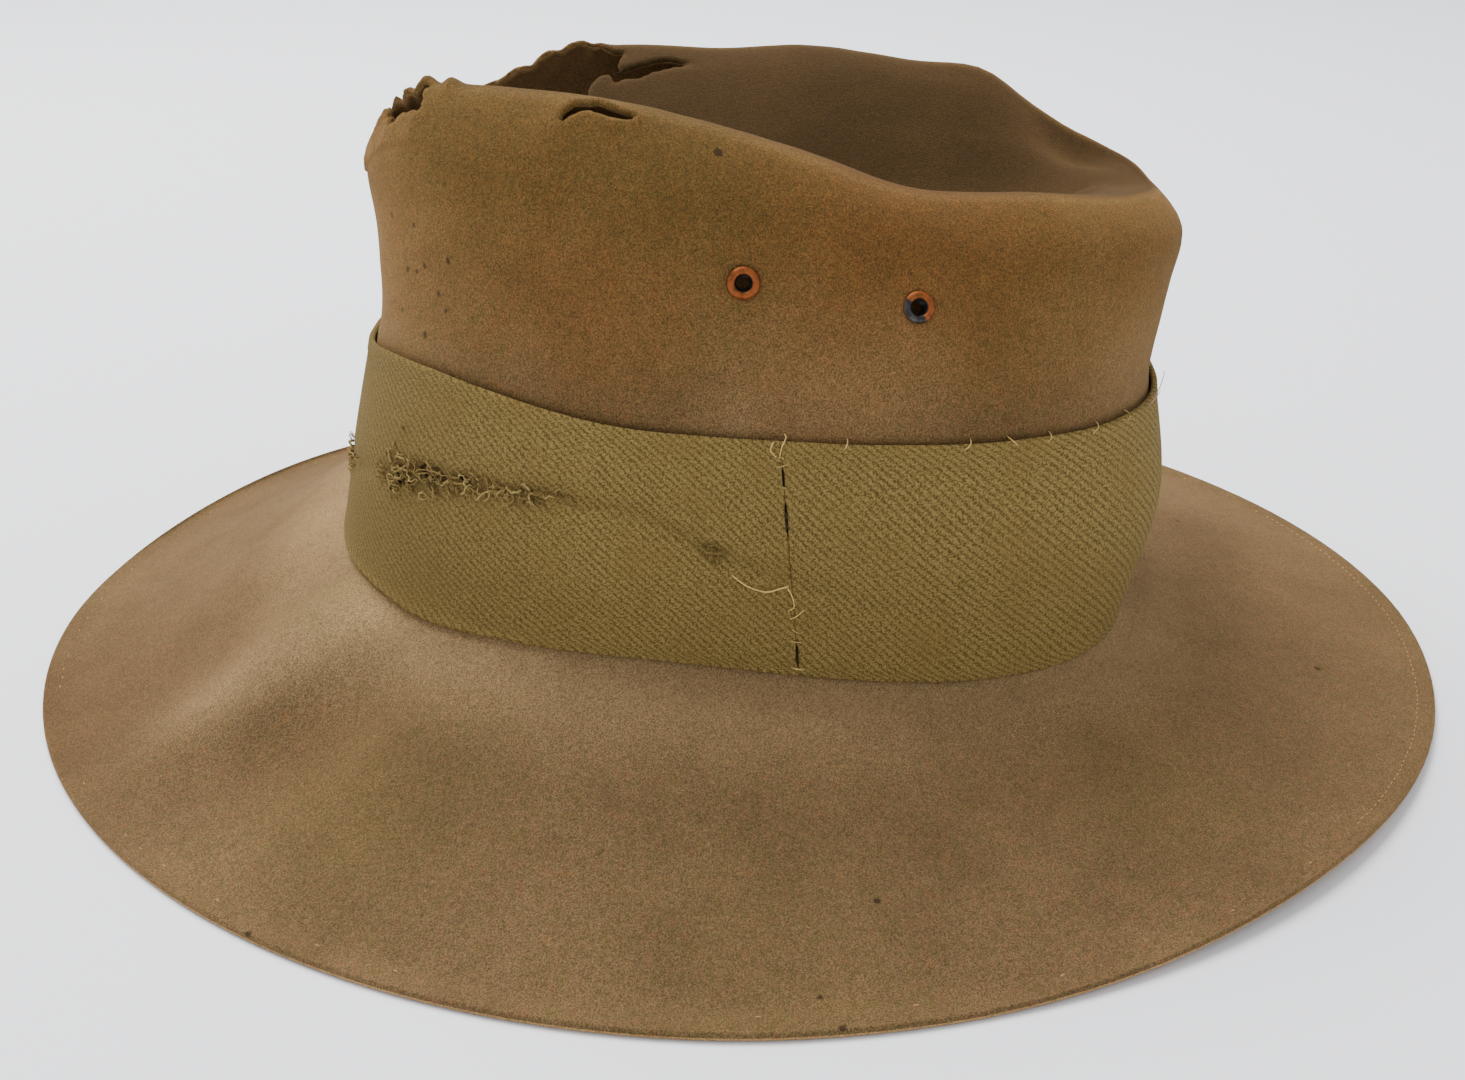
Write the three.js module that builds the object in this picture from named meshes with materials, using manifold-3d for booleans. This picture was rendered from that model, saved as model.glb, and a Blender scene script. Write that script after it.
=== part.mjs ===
// A felt slouch hat with a twill puggaree round the crown and four copper eyelets.
// Millimetres, +Z up. The front is -Y, the wearer's left is +X, and the brim rests on Z = 0.
// Places on the felt are given by a turn round the crown, in degrees from the back towards the
// wearer's left, and a level, which counts the rows of the tables from the brim's edge upwards
// and then down into the dent.

import * as THREE from 'three';
import { ParametricGeometry } from 'three/addons/geometries/ParametricGeometry.js';
import { mergeGeometries, mergeVertices } from 'three/addons/utils/BufferGeometryUtils.js';
import Module from 'manifold-3d';

// Driving dimensions
const brimLength = 360;
const brimWidth = 331;
const crownLength = 200;
const crownWidth = 160;
const crownHeight = 150;
const footHeight = 30;
const bandHeight = 54;
const feltThickness = 2;
const clothThickness = 1.5;
const pieceGap = 0.3;
const clothGap = 0.45;
const seamGap = 0.6;
const eyeletFlange = 6.8;
const eyeletBore = 3.2;
const eyeletMetal = 0.5;
const tearLength = 35.5;
const tearWidth = 84;
const lobeReach = 1.6;
const slitLength = 18;
const slitOpening = 1.8;
const edgeSquareness = 1.94;
const settle = 0.4;

// How finely the felt and the cloth are divided
const columns = 80;
const eyeletSides = 12;
const lobePoints = 6;

// The brim, from its edge in to the crown's foot: out is the share of the way from the foot to
// the edge, climb the share of the foot's height
const brimRows = [
  { name: 'edge', out: 1.0, climb: 0.0 },
  { name: 'lip', out: 0.945, climb: 0.0 },
  { name: 'outer', out: 0.64, climb: 0.23 },
  { name: 'middle', out: 0.37, climb: 0.55 },
  { name: 'inner', out: 0.15, climb: 0.83 },
];

// The crown's wall: front and back reach as shares of half the crown's length, left and right
// as shares of half its width, and rise from 0 at the foot to 1 at the band's top edge and 2 at
// the crest
const wallRows = [
  { name: 'foot', front: 0.986, back: 0.972, left: 1.0, right: 0.985, square: 2.75, rise: 0.0 },
  { name: 'low', front: 0.966, back: 0.989, left: 0.99, right: 0.973, square: 2.62, rise: 0.15 },
  { name: 'mid', front: 0.926, back: 1.033, left: 0.99, right: 0.973, square: 2.6, rise: 0.55 },
  { name: 'bandTop', front: 0.872, back: 1.0, left: 0.985, right: 0.967, square: 2.56, rise: 1.0 },
  { name: 'waist', front: 0.852, back: 1.005, left: 0.973, right: 0.955, square: 2.52, rise: 1.2 },
  { name: 'upper', front: 0.853, back: 1.028, left: 0.929, right: 0.91, square: 2.52, rise: 1.55 },
  { name: 'shoulder', front: 0.869, back: 1.047, left: 0.871, right: 0.853, square: 2.5, rise: 1.82 },
  { name: 'crest', front: 0.847, back: 0.994, left: 0.739, right: 0.72, square: 2.48, rise: 2.0 },
];

// Heights of the wall's foot, as shares of the foot height, and of the band's top edge above it,
// as shares of the band height; corner is what the front left corner adds
const footLine = { front: 1.34, back: 0.65, left: 0.98, right: 1.04, corner: -0.08 };
const bandLine = { front: 0.83, back: 1.07, left: 1.02, right: 0.95, corner: 0.19 };
const cornerTurn = 140;
const cornerSpread = 25;

// The crest round the dent: its height as a share of the crown's height
const crestRows = [
  { turn: 0, height: 0.8 },
  { turn: 20, height: 0.822 },
  { turn: 35, height: 0.846 },
  { turn: 60, height: 0.874 },
  { turn: 75, height: 0.915 },
  { turn: 90, height: 0.95 },
  { turn: 110, height: 0.983 },
  { turn: 128, height: 1.0 },
  { turn: 148, height: 0.986 },
  { turn: 165, height: 0.907 },
  { turn: 180, height: 0.857 },
  { turn: 195, height: 0.855 },
  { turn: 212, height: 0.89 },
  { turn: 235, height: 0.945 },
  { turn: 265, height: 0.942 },
  { turn: 288, height: 0.949 },
  { turn: 308, height: 0.927 },
  { turn: 322, height: 0.9 },
  { turn: 340, height: 0.828 },
];

// The dent's valley from front to back: along as a share of half the crown's length, height as
// a share of the crown's height, aside as a share of half the crown's width
const valleyRows = [
  { along: -0.745, height: 0.81, aside: -0.02 },
  { along: -0.5, height: 0.765, aside: 0.0 },
  { along: 0.0, height: 0.715, aside: 0.02 },
  { along: 0.4, height: 0.7, aside: 0.0 },
  { along: 0.7, height: 0.735, aside: -0.04 },
  { along: 0.87, height: 0.785, aside: -0.05 },
];

// The dent's sides, from the crest down: width is what is left of the crest's width, drop the
// share of the way down to the valley
const dentRows = [
  { width: 0.8, drop: 0.07 },
  { width: 0.52, drop: 0.42 },
  { width: 0.25, drop: 0.8 },
  { width: 0.0, drop: 1.0 },
];

// Folds and buckles: spread in degrees and in levels, out as a share of the crown's width, up as
// a share of the foot height
const foldRows = [
  { name: 'brim fold', turn: 149, spread: 6, level: 3.2, levels: 1.5, out: 0, up: 0.12 },
  { name: 'brim valley', turn: 137, spread: 7, level: 3.0, levels: 1.3, out: 0, up: -0.11 },
  { name: 'front swell', turn: 168, spread: 9, level: 3.2, levels: 1.2, out: 0, up: 0.06 },
  { name: 'back left lift', turn: 42, spread: 22, level: 0, levels: 1.9, out: 0, up: 0.12 },
  { name: 'far front lift', turn: 216, spread: 20, level: 0, levels: 1.9, out: 0, up: 0.1 },
  { name: 'back hollow', turn: 22, spread: 14, level: 3.8, levels: 0.8, out: 0, up: -0.07 },
  { name: 'left hollow', turn: 52, spread: 14, level: 3.6, levels: 0.8, out: 0, up: -0.07 },
  { name: 'far back swell', turn: 344, spread: 16, level: 2.3, levels: 1.0, out: 0, up: 0.08 },
  { name: 'left dimple', turn: 66, spread: 16, level: 10.6, levels: 0.9, out: -0.012, up: 0 },
  { name: 'far ridge bump', turn: 322, spread: 7, level: 12, levels: 1.0, out: 0.006, up: 0.08 },
  { name: 'back crease', turn: 338, spread: 9, level: 13.4, levels: 0.9, out: 0, up: -0.16 },
];

// Steps between the rows, from each to the next
const rowSteps = [1, 1, 2, 1, 2, 1, 2, 2, 1, 1, 2, 2, 2, 1, 1, 1];

// Where the cloth stands fuller over the crown: height is the share of the band's height
const bandFolds = [
  { name: 'upper roll', turn: 108, spread: 26, height: 0.78, reach: 0.17, out: 0.6 },
  { name: 'lower roll', turn: 112, spread: 30, height: 0.34, reach: 0.2, out: 0.9 },
  { name: 'back roll', turn: 40, spread: 30, height: 0.6, reach: 0.3, out: 0.7 },
];

// The seam where the cloth's two ends meet
const seam = { footTurn: 80.5, topTurn: 84 };

// Eyelets in the crown's wall
const eyeletRows = [
  { name: 'eyelet_left_front', turn: 89.5, level: 10.0 },
  { name: 'eyelet_left_back', turn: 62.5, level: 10.04 },
  { name: 'eyelet_right_front', turn: 270.5, level: 10.0 },
  { name: 'eyelet_right_back', turn: 297.5, level: 10.04 },
];

// The hole torn in the dent's floor behind the front wall
const floorHole = { along: -0.64, aside: -0.06, lobes: 11, ragged: 0.06 };

// The notch torn out of the front wall, its corners in order from the left crest's foot
const notchRows = [
  { aside: 0.43, height: 0.875, lobes: 4 },
  { aside: 0.62, height: 1.06, lobes: 1 },
  { aside: -0.8, height: 1.06, lobes: 4 },
  { aside: -0.5, height: 0.875, lobes: 3 },
  { aside: -0.2, height: 0.82, lobes: 3 },
  { aside: 0.2, height: 0.82, lobes: 3 },
];

// Two slits run beside the crests
const slitRows = [
  { name: 'left slit', turn: 115.5, level: 11.75, bow: 0.09 },
  { name: 'right slit', turn: 248.5, level: 13.0, bow: 0.07 },
];

const footLevel = brimRows.length;
const bandTopLevel = footLevel + wallRows.findIndex((row) => row.name === 'bandTop');
const crestLevel = footLevel + wallRows.length - 1;
const lastLevel = crestLevel + dentRows.length;
const bandRowSteps = rowSteps.slice(footLevel, bandTopLevel);
const bandRise = wallRows.slice(0, bandTopLevel - footLevel + 1).map((row) => row.rise);

const radians = THREE.MathUtils.degToRad;

// A smooth curve through rows at uneven stations, with its slope taken from the neighbours
function smooth(stations, values, at) {
  const last = stations.length - 1;
  const x = THREE.MathUtils.clamp(at, stations[0], stations[last]);
  let i = 0;
  while (i < last - 1 && x >= stations[i + 1]) i += 1;
  const slope = (k) => {
    if (k === 0) return (values[1] - values[0]) / (stations[1] - stations[0]);
    if (k === last) return (values[k] - values[k - 1]) / (stations[k] - stations[k - 1]);
    const before = stations[k] - stations[k - 1];
    const after = stations[k + 1] - stations[k];
    const rise = ((values[k] - values[k - 1]) / before) * after;
    return (rise + ((values[k + 1] - values[k]) / after) * before) / (before + after);
  };
  const step = stations[i + 1] - stations[i];
  const s = (x - stations[i]) / step;
  const s2 = s * s;
  const s3 = s2 * s;
  return (2 * s3 - 3 * s2 + 1) * values[i] + (s3 - 2 * s2 + s) * step * slope(i)
    + (3 * s2 - 2 * s3) * values[i + 1] + (s3 - s2) * step * slope(i + 1);
}

// The same curve closed on itself after a full turn
function smoothTurn(rows, column, turn) {
  const stations = [-360, 0, 360].flatMap((shift) => rows.map((row) => row.turn + shift));
  const values = [0, 1, 2].flatMap(() => rows.map((row) => row[column]));
  return smooth(stations, values, turn);
}

function bell(distance, spread) {
  return Math.exp(-((distance / spread) ** 2));
}

// The shorter way round from one turn to another
function turnBetween(a, b) {
  return THREE.MathUtils.euclideanModulo(a - b + 180, 360) - 180;
}

// A rounded-square ring with a reach of its own to each side
function ringPoint(front, back, left, right, square, turn) {
  const c = Math.cos(radians(turn));
  const s = Math.sin(radians(turn));
  const lengthwise = Math.abs(c / (c >= 0 ? back : front)) ** square;
  const crosswise = Math.abs(s / (s >= 0 ? left : right)) ** square;
  const r = (lengthwise + crosswise) ** (-1 / square);
  return { x: r * s, y: r * c };
}

// A height given at the front, back, left and right, eased between them
function lineHeight(line, turn) {
  const c = Math.cos(radians(turn));
  const s = Math.sin(radians(turn));
  const mean = (line.front + line.back + line.left + line.right) / 4;
  const oval = (line.front + line.back - line.left - line.right) / 4;
  const corner = line.corner * bell(turnBetween(turn, cornerTurn), cornerSpread);
  return mean + (c * (line.back - line.front)) / 2 + (s * (line.left - line.right)) / 2
    + oval * Math.cos(2 * radians(turn)) + corner;
}

const footAt = (turn) => footHeight * lineHeight(footLine, turn);
const bandTopAt = (turn) => footAt(turn) + bandHeight * lineHeight(bandLine, turn);
const crestAt = (turn) => crownHeight * smoothTurn(crestRows, 'height', turn);

function wallPoint(row, turn) {
  const l = crownLength / 2;
  const w = crownWidth / 2;
  const ring = ringPoint(row.front * l, row.back * l, row.left * w, row.right * w, row.square, turn);
  const band = bandTopAt(turn);
  const low = footAt(turn) + (band - footAt(turn)) * Math.min(row.rise, 1);
  const z = low + (crestAt(turn) - band) * Math.max(row.rise - 1, 0);
  return new THREE.Vector3(ring.x, ring.y, z);
}

function brimPoint(row, foot, turn) {
  const edge = ringPoint(brimLength / 2, brimLength / 2, brimWidth / 2, brimWidth / 2,
    edgeSquareness, turn);
  const x = foot.x + (edge.x - foot.x) * row.out;
  const y = foot.y + (edge.y - foot.y) * row.out;
  const z = feltThickness + (foot.z - feltThickness) * row.climb;
  return new THREE.Vector3(x, y, z);
}

function dentPoint(row, crest, turn) {
  const stations = valleyRows.map((r) => r.along * crownLength / 2);
  const middle = (stations[0] + stations[stations.length - 1]) / 2;
  const half = stations[stations.length - 1] - middle;
  const alongValley = middle + half * Math.cos(radians(turn));
  const y = crest.y * row.width + alongValley * (1 - row.width);
  const floor = crownHeight * smooth(stations, valleyRows.map((r) => r.height), y);
  const aside = (crownWidth / 2) * smooth(stations, valleyRows.map((r) => r.aside), y);
  return new THREE.Vector3(
    aside + (crest.x - aside) * row.width,
    y,
    crest.z + (floor - crest.z) * row.drop,
  );
}

// Every row of the felt at one turn
const rowCache = new Map();
function rowsAt(turn) {
  if (!rowCache.has(turn)) {
    const walls = wallRows.map((row) => wallPoint(row, turn));
    const brim = brimRows.map((row) => brimPoint(row, walls[0], turn));
    const dent = dentRows.map((row) => dentPoint(row, walls[walls.length - 1], turn));
    const rows = [...brim, ...walls, ...dent];
    rowCache.set(turn, {
      levels: rows.map((row, i) => i),
      x: rows.map((row) => row.x),
      y: rows.map((row) => row.y),
      z: rows.map((row) => row.z),
    });
  }
  return rowCache.get(turn);
}

// The felt's outer face; the mirrored turns meet exactly along the valley. The lip settles flat
// where folds would lift it by less than the settle
function outerPoint(turnGiven, level) {
  const turn = THREE.MathUtils.euclideanModulo(turnGiven, 360);
  const zipped = level >= lastLevel && turn > 180 ? 360 - turn : turn;
  const rows = rowsAt(zipped);
  const point = new THREE.Vector3(
    smooth(rows.levels, rows.x, level),
    smooth(rows.levels, rows.y, level),
    smooth(rows.levels, rows.z, level),
  );
  const fade = 1 - THREE.MathUtils.smoothstep(level, lastLevel - 1, lastLevel);
  for (const fold of foldRows) {
    const amount = fade * bell(turnBetween(turn, fold.turn), fold.spread)
      * bell(level - fold.level, fold.levels);
    point.x += amount * fold.out * crownWidth * Math.sin(radians(turn));
    point.y += amount * fold.out * crownWidth * Math.cos(radians(turn));
    point.z += amount * fold.up * footHeight;
  }
  const resting = settle * (1 - THREE.MathUtils.smoothstep(level, 1, 2));
  point.z = feltThickness + Math.max(point.z - feltThickness - resting, 0);
  return point;
}

// The way out of the felt; on the brim's lip and along the valley it is straight up
function outward(turn, level) {
  const turnStep = 0.5;
  const levelStep = 0.04;
  const low = Math.max(level - levelStep, 0);
  const high = Math.min(level + levelStep, lastLevel - levelStep);
  const around = outerPoint(turn + turnStep, Math.min(level, high))
    .sub(outerPoint(turn - turnStep, Math.min(level, high)));
  const up = outerPoint(turn, Math.max(high, low + levelStep)).sub(outerPoint(turn, low));
  const normal = up.cross(around).normalize();
  if (normal.dot(new THREE.Vector3(Math.sin(radians(turn)), Math.cos(radians(turn)), 1)) < 0
    && level <= crestLevel) normal.negate();
  if (level > crestLevel && normal.z < 0) normal.negate();
  const lip = THREE.MathUtils.smoothstep(level, 1, 2);
  const valley = 1 - THREE.MathUtils.smoothstep(level, lastLevel - 1, lastLevel);
  const share = Math.min(lip, valley);
  return normal.multiplyScalar(share).add(new THREE.Vector3(0, 0, 1 - share)).normalize();
}

function innerPoint(turn, level) {
  const point = outerPoint(turn, level).addScaledVector(outward(turn, level), -feltThickness);
  point.z = Math.max(point.z, 0);
  return point;
}

// The levels of the grid's rows
function levelList(steps, first) {
  const list = [first];
  steps.forEach((count, i) => {
    for (let k = 1; k <= count; k += 1) list.push(first + i + k / count);
  });
  return list;
}

function bare(geometry, inwards) {
  geometry.deleteAttribute('normal');
  geometry.deleteAttribute('uv');
  if (inwards) {
    const index = geometry.getIndex();
    for (let i = 0; i < index.count; i += 3) {
      const a = index.getX(i);
      index.setX(i, index.getX(i + 1));
      index.setX(i + 1, a);
    }
  }
  return geometry;
}

// A sheet of felt or cloth over turns and a list of levels
function sheet(pointAt, turns, levels, inwards) {
  const geometry = new ParametricGeometry((u, v, target) => {
    const k = Math.min(Math.max(v, 0), 1) * (levels.length - 1);
    const i = Math.min(Math.floor(k + 1e-9), levels.length - 2);
    const level = levels[i] + (levels[i + 1] - levels[i]) * (k - i);
    target.copy(pointAt(u, level));
  }, turns, levels.length - 1);
  return bare(geometry, inwards);
}

function closed(parts) {
  return mergeVertices(mergeGeometries(parts), 1e-4);
}

const wasm = await Module();
wasm.setup();

function toSolid(geometry) {
  return new wasm.Manifold(new wasm.Mesh({
    numProp: 3,
    vertProperties: new Float32Array(geometry.getAttribute('position').array),
    triVerts: new Uint32Array(geometry.getIndex().array),
  }));
}

function toGeometry(solid) {
  const mesh = solid.getMesh();
  const geometry = new THREE.BufferGeometry();
  geometry.setAttribute('position', new THREE.BufferAttribute(mesh.vertProperties, 3));
  geometry.setIndex(new THREE.BufferAttribute(mesh.triVerts, 1));
  return geometry;
}

// Scraps that a tear leaves loose have fallen away
function largest(solid) {
  return solid.decompose().reduce((a, b) => (b.volume() > a.volume() ? b : a));
}

function cutter(geometry, matrix) {
  const shape = mergeVertices(bare(geometry, false), 1e-4);
  shape.applyMatrix4(matrix);
  return toSolid(shape);
}

// Where something sits on the felt: its Z axis points out and its X axis runs round the crown
function seatOn(turn, level) {
  const out = outward(turn, level);
  const around = outerPoint(turn - 1, level).sub(outerPoint(turn + 1, level));
  around.addScaledVector(out, -around.dot(out)).normalize();
  const up = new THREE.Vector3().crossVectors(out, around);
  const matrix = new THREE.Matrix4().makeBasis(around, up, out);
  return matrix.setPosition(outerPoint(turn, level));
}

// A ragged line from one point to the next: rounded lobes that reach ragged to its left
function raggedLine(from, to, lobes, ragged) {
  const along = to.clone().sub(from);
  const aside = new THREE.Vector2(-along.y, along.x).normalize();
  const points = [];
  for (let i = 0; i < lobes * lobePoints; i += 1) {
    const s = i / (lobes * lobePoints);
    const reach = ragged * Math.abs(Math.sin(Math.PI * lobes * s));
    points.push(from.clone().addScaledVector(along, s).addScaledVector(aside, reach));
  }
  return points;
}

// The hole in the dent's floor, straight down through the felt
function floorTear() {
  const outline = [];
  const points = floorHole.lobes * lobePoints;
  for (let i = 0; i < points; i += 1) {
    const a = (i / points) * 2 * Math.PI;
    const wave = 1 - floorHole.ragged * Math.abs(Math.sin((floorHole.lobes * a) / 2));
    outline.push(new THREE.Vector2(
      (floorHole.aside * crownWidth) / 2 + (tearWidth / 2) * wave * Math.cos(a),
      (floorHole.along * crownLength) / 2 + (tearLength / 2) * wave * Math.sin(a),
    ));
  }
  const depth = crownHeight;
  const shape = new THREE.Shape(outline);
  const geometry = new THREE.ExtrudeGeometry(shape, { depth, bevelEnabled: false });
  return cutter(geometry, new THREE.Matrix4().makeTranslation(0, 0, bandTopAt(180)));
}

// The notch in the front wall between the two crests, cut from the front backwards
function frontTear() {
  const corners = notchRows.map((row) => new THREE.Vector2(
    (row.aside * crownWidth) / 2,
    row.height * crownHeight,
  ));
  const outline = corners.flatMap((corner, i) => {
    const next = corners[(i + 1) % corners.length];
    return raggedLine(corner, next, notchRows[i].lobes, lobeReach);
  });
  const shape = new THREE.Shape(outline);
  const geometry = new THREE.ExtrudeGeometry(shape, { depth: crownLength, bevelEnabled: false });
  const matrix = new THREE.Matrix4().makeRotationX(Math.PI / 2);
  matrix.setPosition(0, (floorHole.along * crownLength) / 2, 0);
  return cutter(geometry, matrix);
}

// A slit gapes as a crescent
function slit(row) {
  const half = slitLength / 2;
  const bow = row.bow * slitLength * 2;
  const crescent = new THREE.Shape();
  crescent.moveTo(-half, 0);
  crescent.quadraticCurveTo(0, bow + slitOpening, half, 0);
  crescent.quadraticCurveTo(0, bow - slitOpening, -half, 0);
  const depth = feltThickness * 4;
  const geometry = new THREE.ExtrudeGeometry(crescent, { depth, bevelEnabled: false, curveSegments: 6 });
  geometry.translate(0, -bow / 2, -depth / 2);
  return cutter(geometry, seatOn(row.turn, row.level));
}

// An eyelet's hole leaves the gap round its barrel
function eyeletHole(row) {
  const radius = eyeletBore / 2 + eyeletMetal + pieceGap;
  const geometry = new THREE.CylinderGeometry(radius, radius, feltThickness * 5, eyeletSides);
  geometry.rotateX(Math.PI / 2);
  return cutter(geometry, seatOn(row.turn, row.level));
}

function feltGeometry() {
  const levels = levelList(rowSteps, 0);
  const outer = sheet((u, level) => outerPoint(360 * u, level), columns, levels, true);
  const inner = sheet((u, level) => innerPoint(360 * u, level), columns, levels, false);
  const rim = bare(new ParametricGeometry((u, v, target) => {
    target.copy(outerPoint(360 * u, 0).lerp(innerPoint(360 * u, 0), Math.min(Math.max(v, 0), 1)));
  }, columns, 1), false);
  const cuts = [floorTear(), frontTear(), ...slitRows.map(slit), ...eyeletRows.map(eyeletHole)];
  const torn = cuts.reduce((solid, cut) => solid.subtract(cut), toSolid(closed([outer, inner, rim])));
  return toGeometry(largest(torn));
}

// The cloth: a strip from seam to seam that follows the felt, a gap off it
function clothPoint(share, level, off) {
  const height = smooth(
    bandRise.map((rise, i) => footLevel + i),
    bandRise,
    level,
  );
  const seamTurn = seam.footTurn + (seam.topTurn - seam.footTurn) * height;
  const halfGap = THREE.MathUtils.radToDeg(seamGap / crownWidth);
  const turn = seamTurn + halfGap + (360 - 2 * halfGap) * share;
  const point = outerPoint(turn, level);
  const out = outward(turn, level);
  let fullness = 0;
  for (const fold of bandFolds) {
    fullness += fold.out * clothThickness * bell(turnBetween(turn, fold.turn), fold.spread)
      * bell(height - fold.height, fold.reach);
  }
  return point.addScaledVector(out, clothGap + off + fullness);
}

function clothGeometry() {
  const levels = levelList(bandRowSteps, footLevel);
  const up = levels.map((level) => ({ level, off: clothThickness }));
  const down = levels.map((level) => ({ level, off: 0 })).reverse();
  const loop = [...up, ...down, up[0]];
  const around = bare(new ParametricGeometry((u, v, target) => {
    const at = loop[Math.round(THREE.MathUtils.clamp(v, 0, 1) * (loop.length - 1))];
    target.copy(clothPoint(THREE.MathUtils.clamp(u, 0, 1), at.level, at.off));
  }, columns, loop.length - 1), true);
  const end = (share) => bare(new ParametricGeometry((u, v, target) => {
    const level = levels[Math.round(THREE.MathUtils.clamp(u, 0, 1) * (levels.length - 1))];
    target.copy(clothPoint(share, level, v > 0.5 ? clothThickness : 0));
  }, levels.length - 1, 1), share === 1);
  return closed([around, end(0), end(1)]);
}

// An eyelet: a barrel through the felt with a flange on each side of it
function eyeletGeometry() {
  const bore = eyeletBore / 2;
  const barrel = bore + eyeletMetal;
  const flange = eyeletFlange / 2;
  const roll = (flange + barrel) / 2;
  const outside = pieceGap + flange ** 2 / crownWidth;
  const inside = -feltThickness - outside;
  const profile = [
    [bore, inside - eyeletMetal],
    [roll, inside - eyeletMetal],
    [roll, inside],
    [barrel, inside],
    [barrel, outside],
    [flange, outside],
    [flange - eyeletMetal / 2, outside + eyeletMetal],
    [bore + eyeletMetal / 2, outside + eyeletMetal],
    [bore, outside + eyeletMetal / 2],
  ].map(([r, h]) => new THREE.Vector2(r, h));
  const geometry = new THREE.LatheGeometry([...profile, profile[0]], eyeletSides);
  geometry.rotateX(Math.PI / 2);
  return mergeVertices(bare(geometry, false), 1e-4);
}

const felt = new THREE.MeshStandardMaterial({ name: 'felt', color: 0x6f5636, roughness: 0.95 });
const twill = new THREE.MeshStandardMaterial({ name: 'twill', color: 0x6f6236, roughness: 0.9 });
const copper = new THREE.MeshStandardMaterial({
  name: 'copper', color: 0xa05a34, roughness: 0.45, metalness: 1,
});

const hat = new THREE.Group();
hat.name = 'slouch_hat';

function add(name, geometry, material) {
  const mesh = new THREE.Mesh(geometry, material);
  mesh.name = name;
  hat.add(mesh);
  return mesh;
}

add('felt_body', feltGeometry(), felt);
add('puggaree', clothGeometry(), twill);
for (const row of eyeletRows) {
  const eyelet = add(row.name, eyeletGeometry(), copper);
  eyelet.applyMatrix4(seatOn(row.turn, row.level));
}

export default hat;
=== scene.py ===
import math

import bpy
import numpy as np
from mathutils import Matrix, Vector, noise


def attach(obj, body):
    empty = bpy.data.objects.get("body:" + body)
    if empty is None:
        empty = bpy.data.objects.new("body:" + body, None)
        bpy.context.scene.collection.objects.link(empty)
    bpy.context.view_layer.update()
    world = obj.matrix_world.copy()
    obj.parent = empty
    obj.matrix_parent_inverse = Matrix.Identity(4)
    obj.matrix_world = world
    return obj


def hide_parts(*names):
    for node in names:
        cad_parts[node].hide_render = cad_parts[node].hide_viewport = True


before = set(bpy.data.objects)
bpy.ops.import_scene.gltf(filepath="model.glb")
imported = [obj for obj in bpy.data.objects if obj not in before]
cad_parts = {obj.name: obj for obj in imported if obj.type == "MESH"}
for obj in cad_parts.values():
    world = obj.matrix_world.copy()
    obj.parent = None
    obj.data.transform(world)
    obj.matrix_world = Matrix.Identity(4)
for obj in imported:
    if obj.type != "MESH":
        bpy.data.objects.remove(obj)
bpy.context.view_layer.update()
mm = 0.001  # every table below is in millimetres, as the part's source is
print("frame loaded")

# Places on the felt are a turn, in degrees from the back towards the wearer's left, and a level,
# which counts the rows from the brim's edge (0) over the foot (5), the band's top (8) and the
# crest (12) down to the valley of the dent (16). The tables repeat the part's own.
hat = {
    "brimLength": 360, "brimWidth": 331, "crownLength": 200, "crownWidth": 160,
    "crownHeight": 150, "footHeight": 30, "bandHeight": 54, "thickness": 2,
    "edgeSquareness": 1.94, "settle": 0.4,
}
brimRows = [(1.0, 0.0), (0.945, 0.0), (0.64, 0.23), (0.37, 0.55), (0.15, 0.83)]  # out, climb
wallRows = [  # front, back, left, right, squareness, rise
    (0.986, 0.972, 1.0, 0.985, 2.75, 0.0),
    (0.966, 0.989, 0.99, 0.973, 2.62, 0.15),
    (0.926, 1.033, 0.99, 0.973, 2.6, 0.55),
    (0.872, 1.0, 0.985, 0.967, 2.56, 1.0),
    (0.852, 1.005, 0.973, 0.955, 2.52, 1.2),
    (0.853, 1.028, 0.929, 0.91, 2.52, 1.55),
    (0.869, 1.047, 0.871, 0.853, 2.5, 1.82),
    (0.847, 0.994, 0.739, 0.72, 2.48, 2.0),
]
footLine = (1.34, 0.65, 0.98, 1.04, -0.08)  # front, back, left, right, front left corner
bandLine = (0.83, 1.07, 1.02, 0.95, 0.19)
crestRows = [  # turn, height
    (0, 0.8), (20, 0.822), (35, 0.846), (60, 0.874), (75, 0.915), (90, 0.95), (110, 0.983),
    (128, 1.0), (148, 0.986), (165, 0.907), (180, 0.857), (195, 0.855), (212, 0.89),
    (235, 0.945), (265, 0.942), (288, 0.949), (308, 0.927), (322, 0.9), (340, 0.828),
]
valleyRows = [  # along, height, aside
    (-0.745, 0.81, -0.02), (-0.5, 0.765, 0.0), (0.0, 0.715, 0.02),
    (0.4, 0.7, 0.0), (0.7, 0.735, -0.04), (0.87, 0.785, -0.05),
]
dentRows = [(0.8, 0.07), (0.52, 0.42), (0.25, 0.8), (0.0, 1.0)]  # width, drop
foldRows = [  # turn, spread, level, levels, out, up
    (149, 6, 3.2, 1.5, 0, 0.12), (137, 7, 3.0, 1.3, 0, -0.11), (168, 9, 3.2, 1.2, 0, 0.06),
    (42, 22, 0, 1.9, 0, 0.12), (216, 20, 0, 1.9, 0, 0.1), (22, 14, 3.8, 0.8, 0, -0.07),
    (52, 14, 3.6, 0.8, 0, -0.07), (344, 16, 2.3, 1.0, 0, 0.08), (66, 16, 10.6, 0.9, -0.012, 0),
    (322, 7, 12, 1.0, 0.006, 0.08), (338, 9, 13.4, 0.9, 0, -0.16),
]
bandFolds = [  # turn, spread, height, reach, out
    (108, 26, 0.78, 0.17, 0.6), (112, 30, 0.34, 0.2, 0.9), (40, 30, 0.6, 0.3, 0.7),
]
cornerTurn, cornerSpread = 140, 25
footLevel, crestLevel, lastLevel = 5, 12, 16


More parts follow.
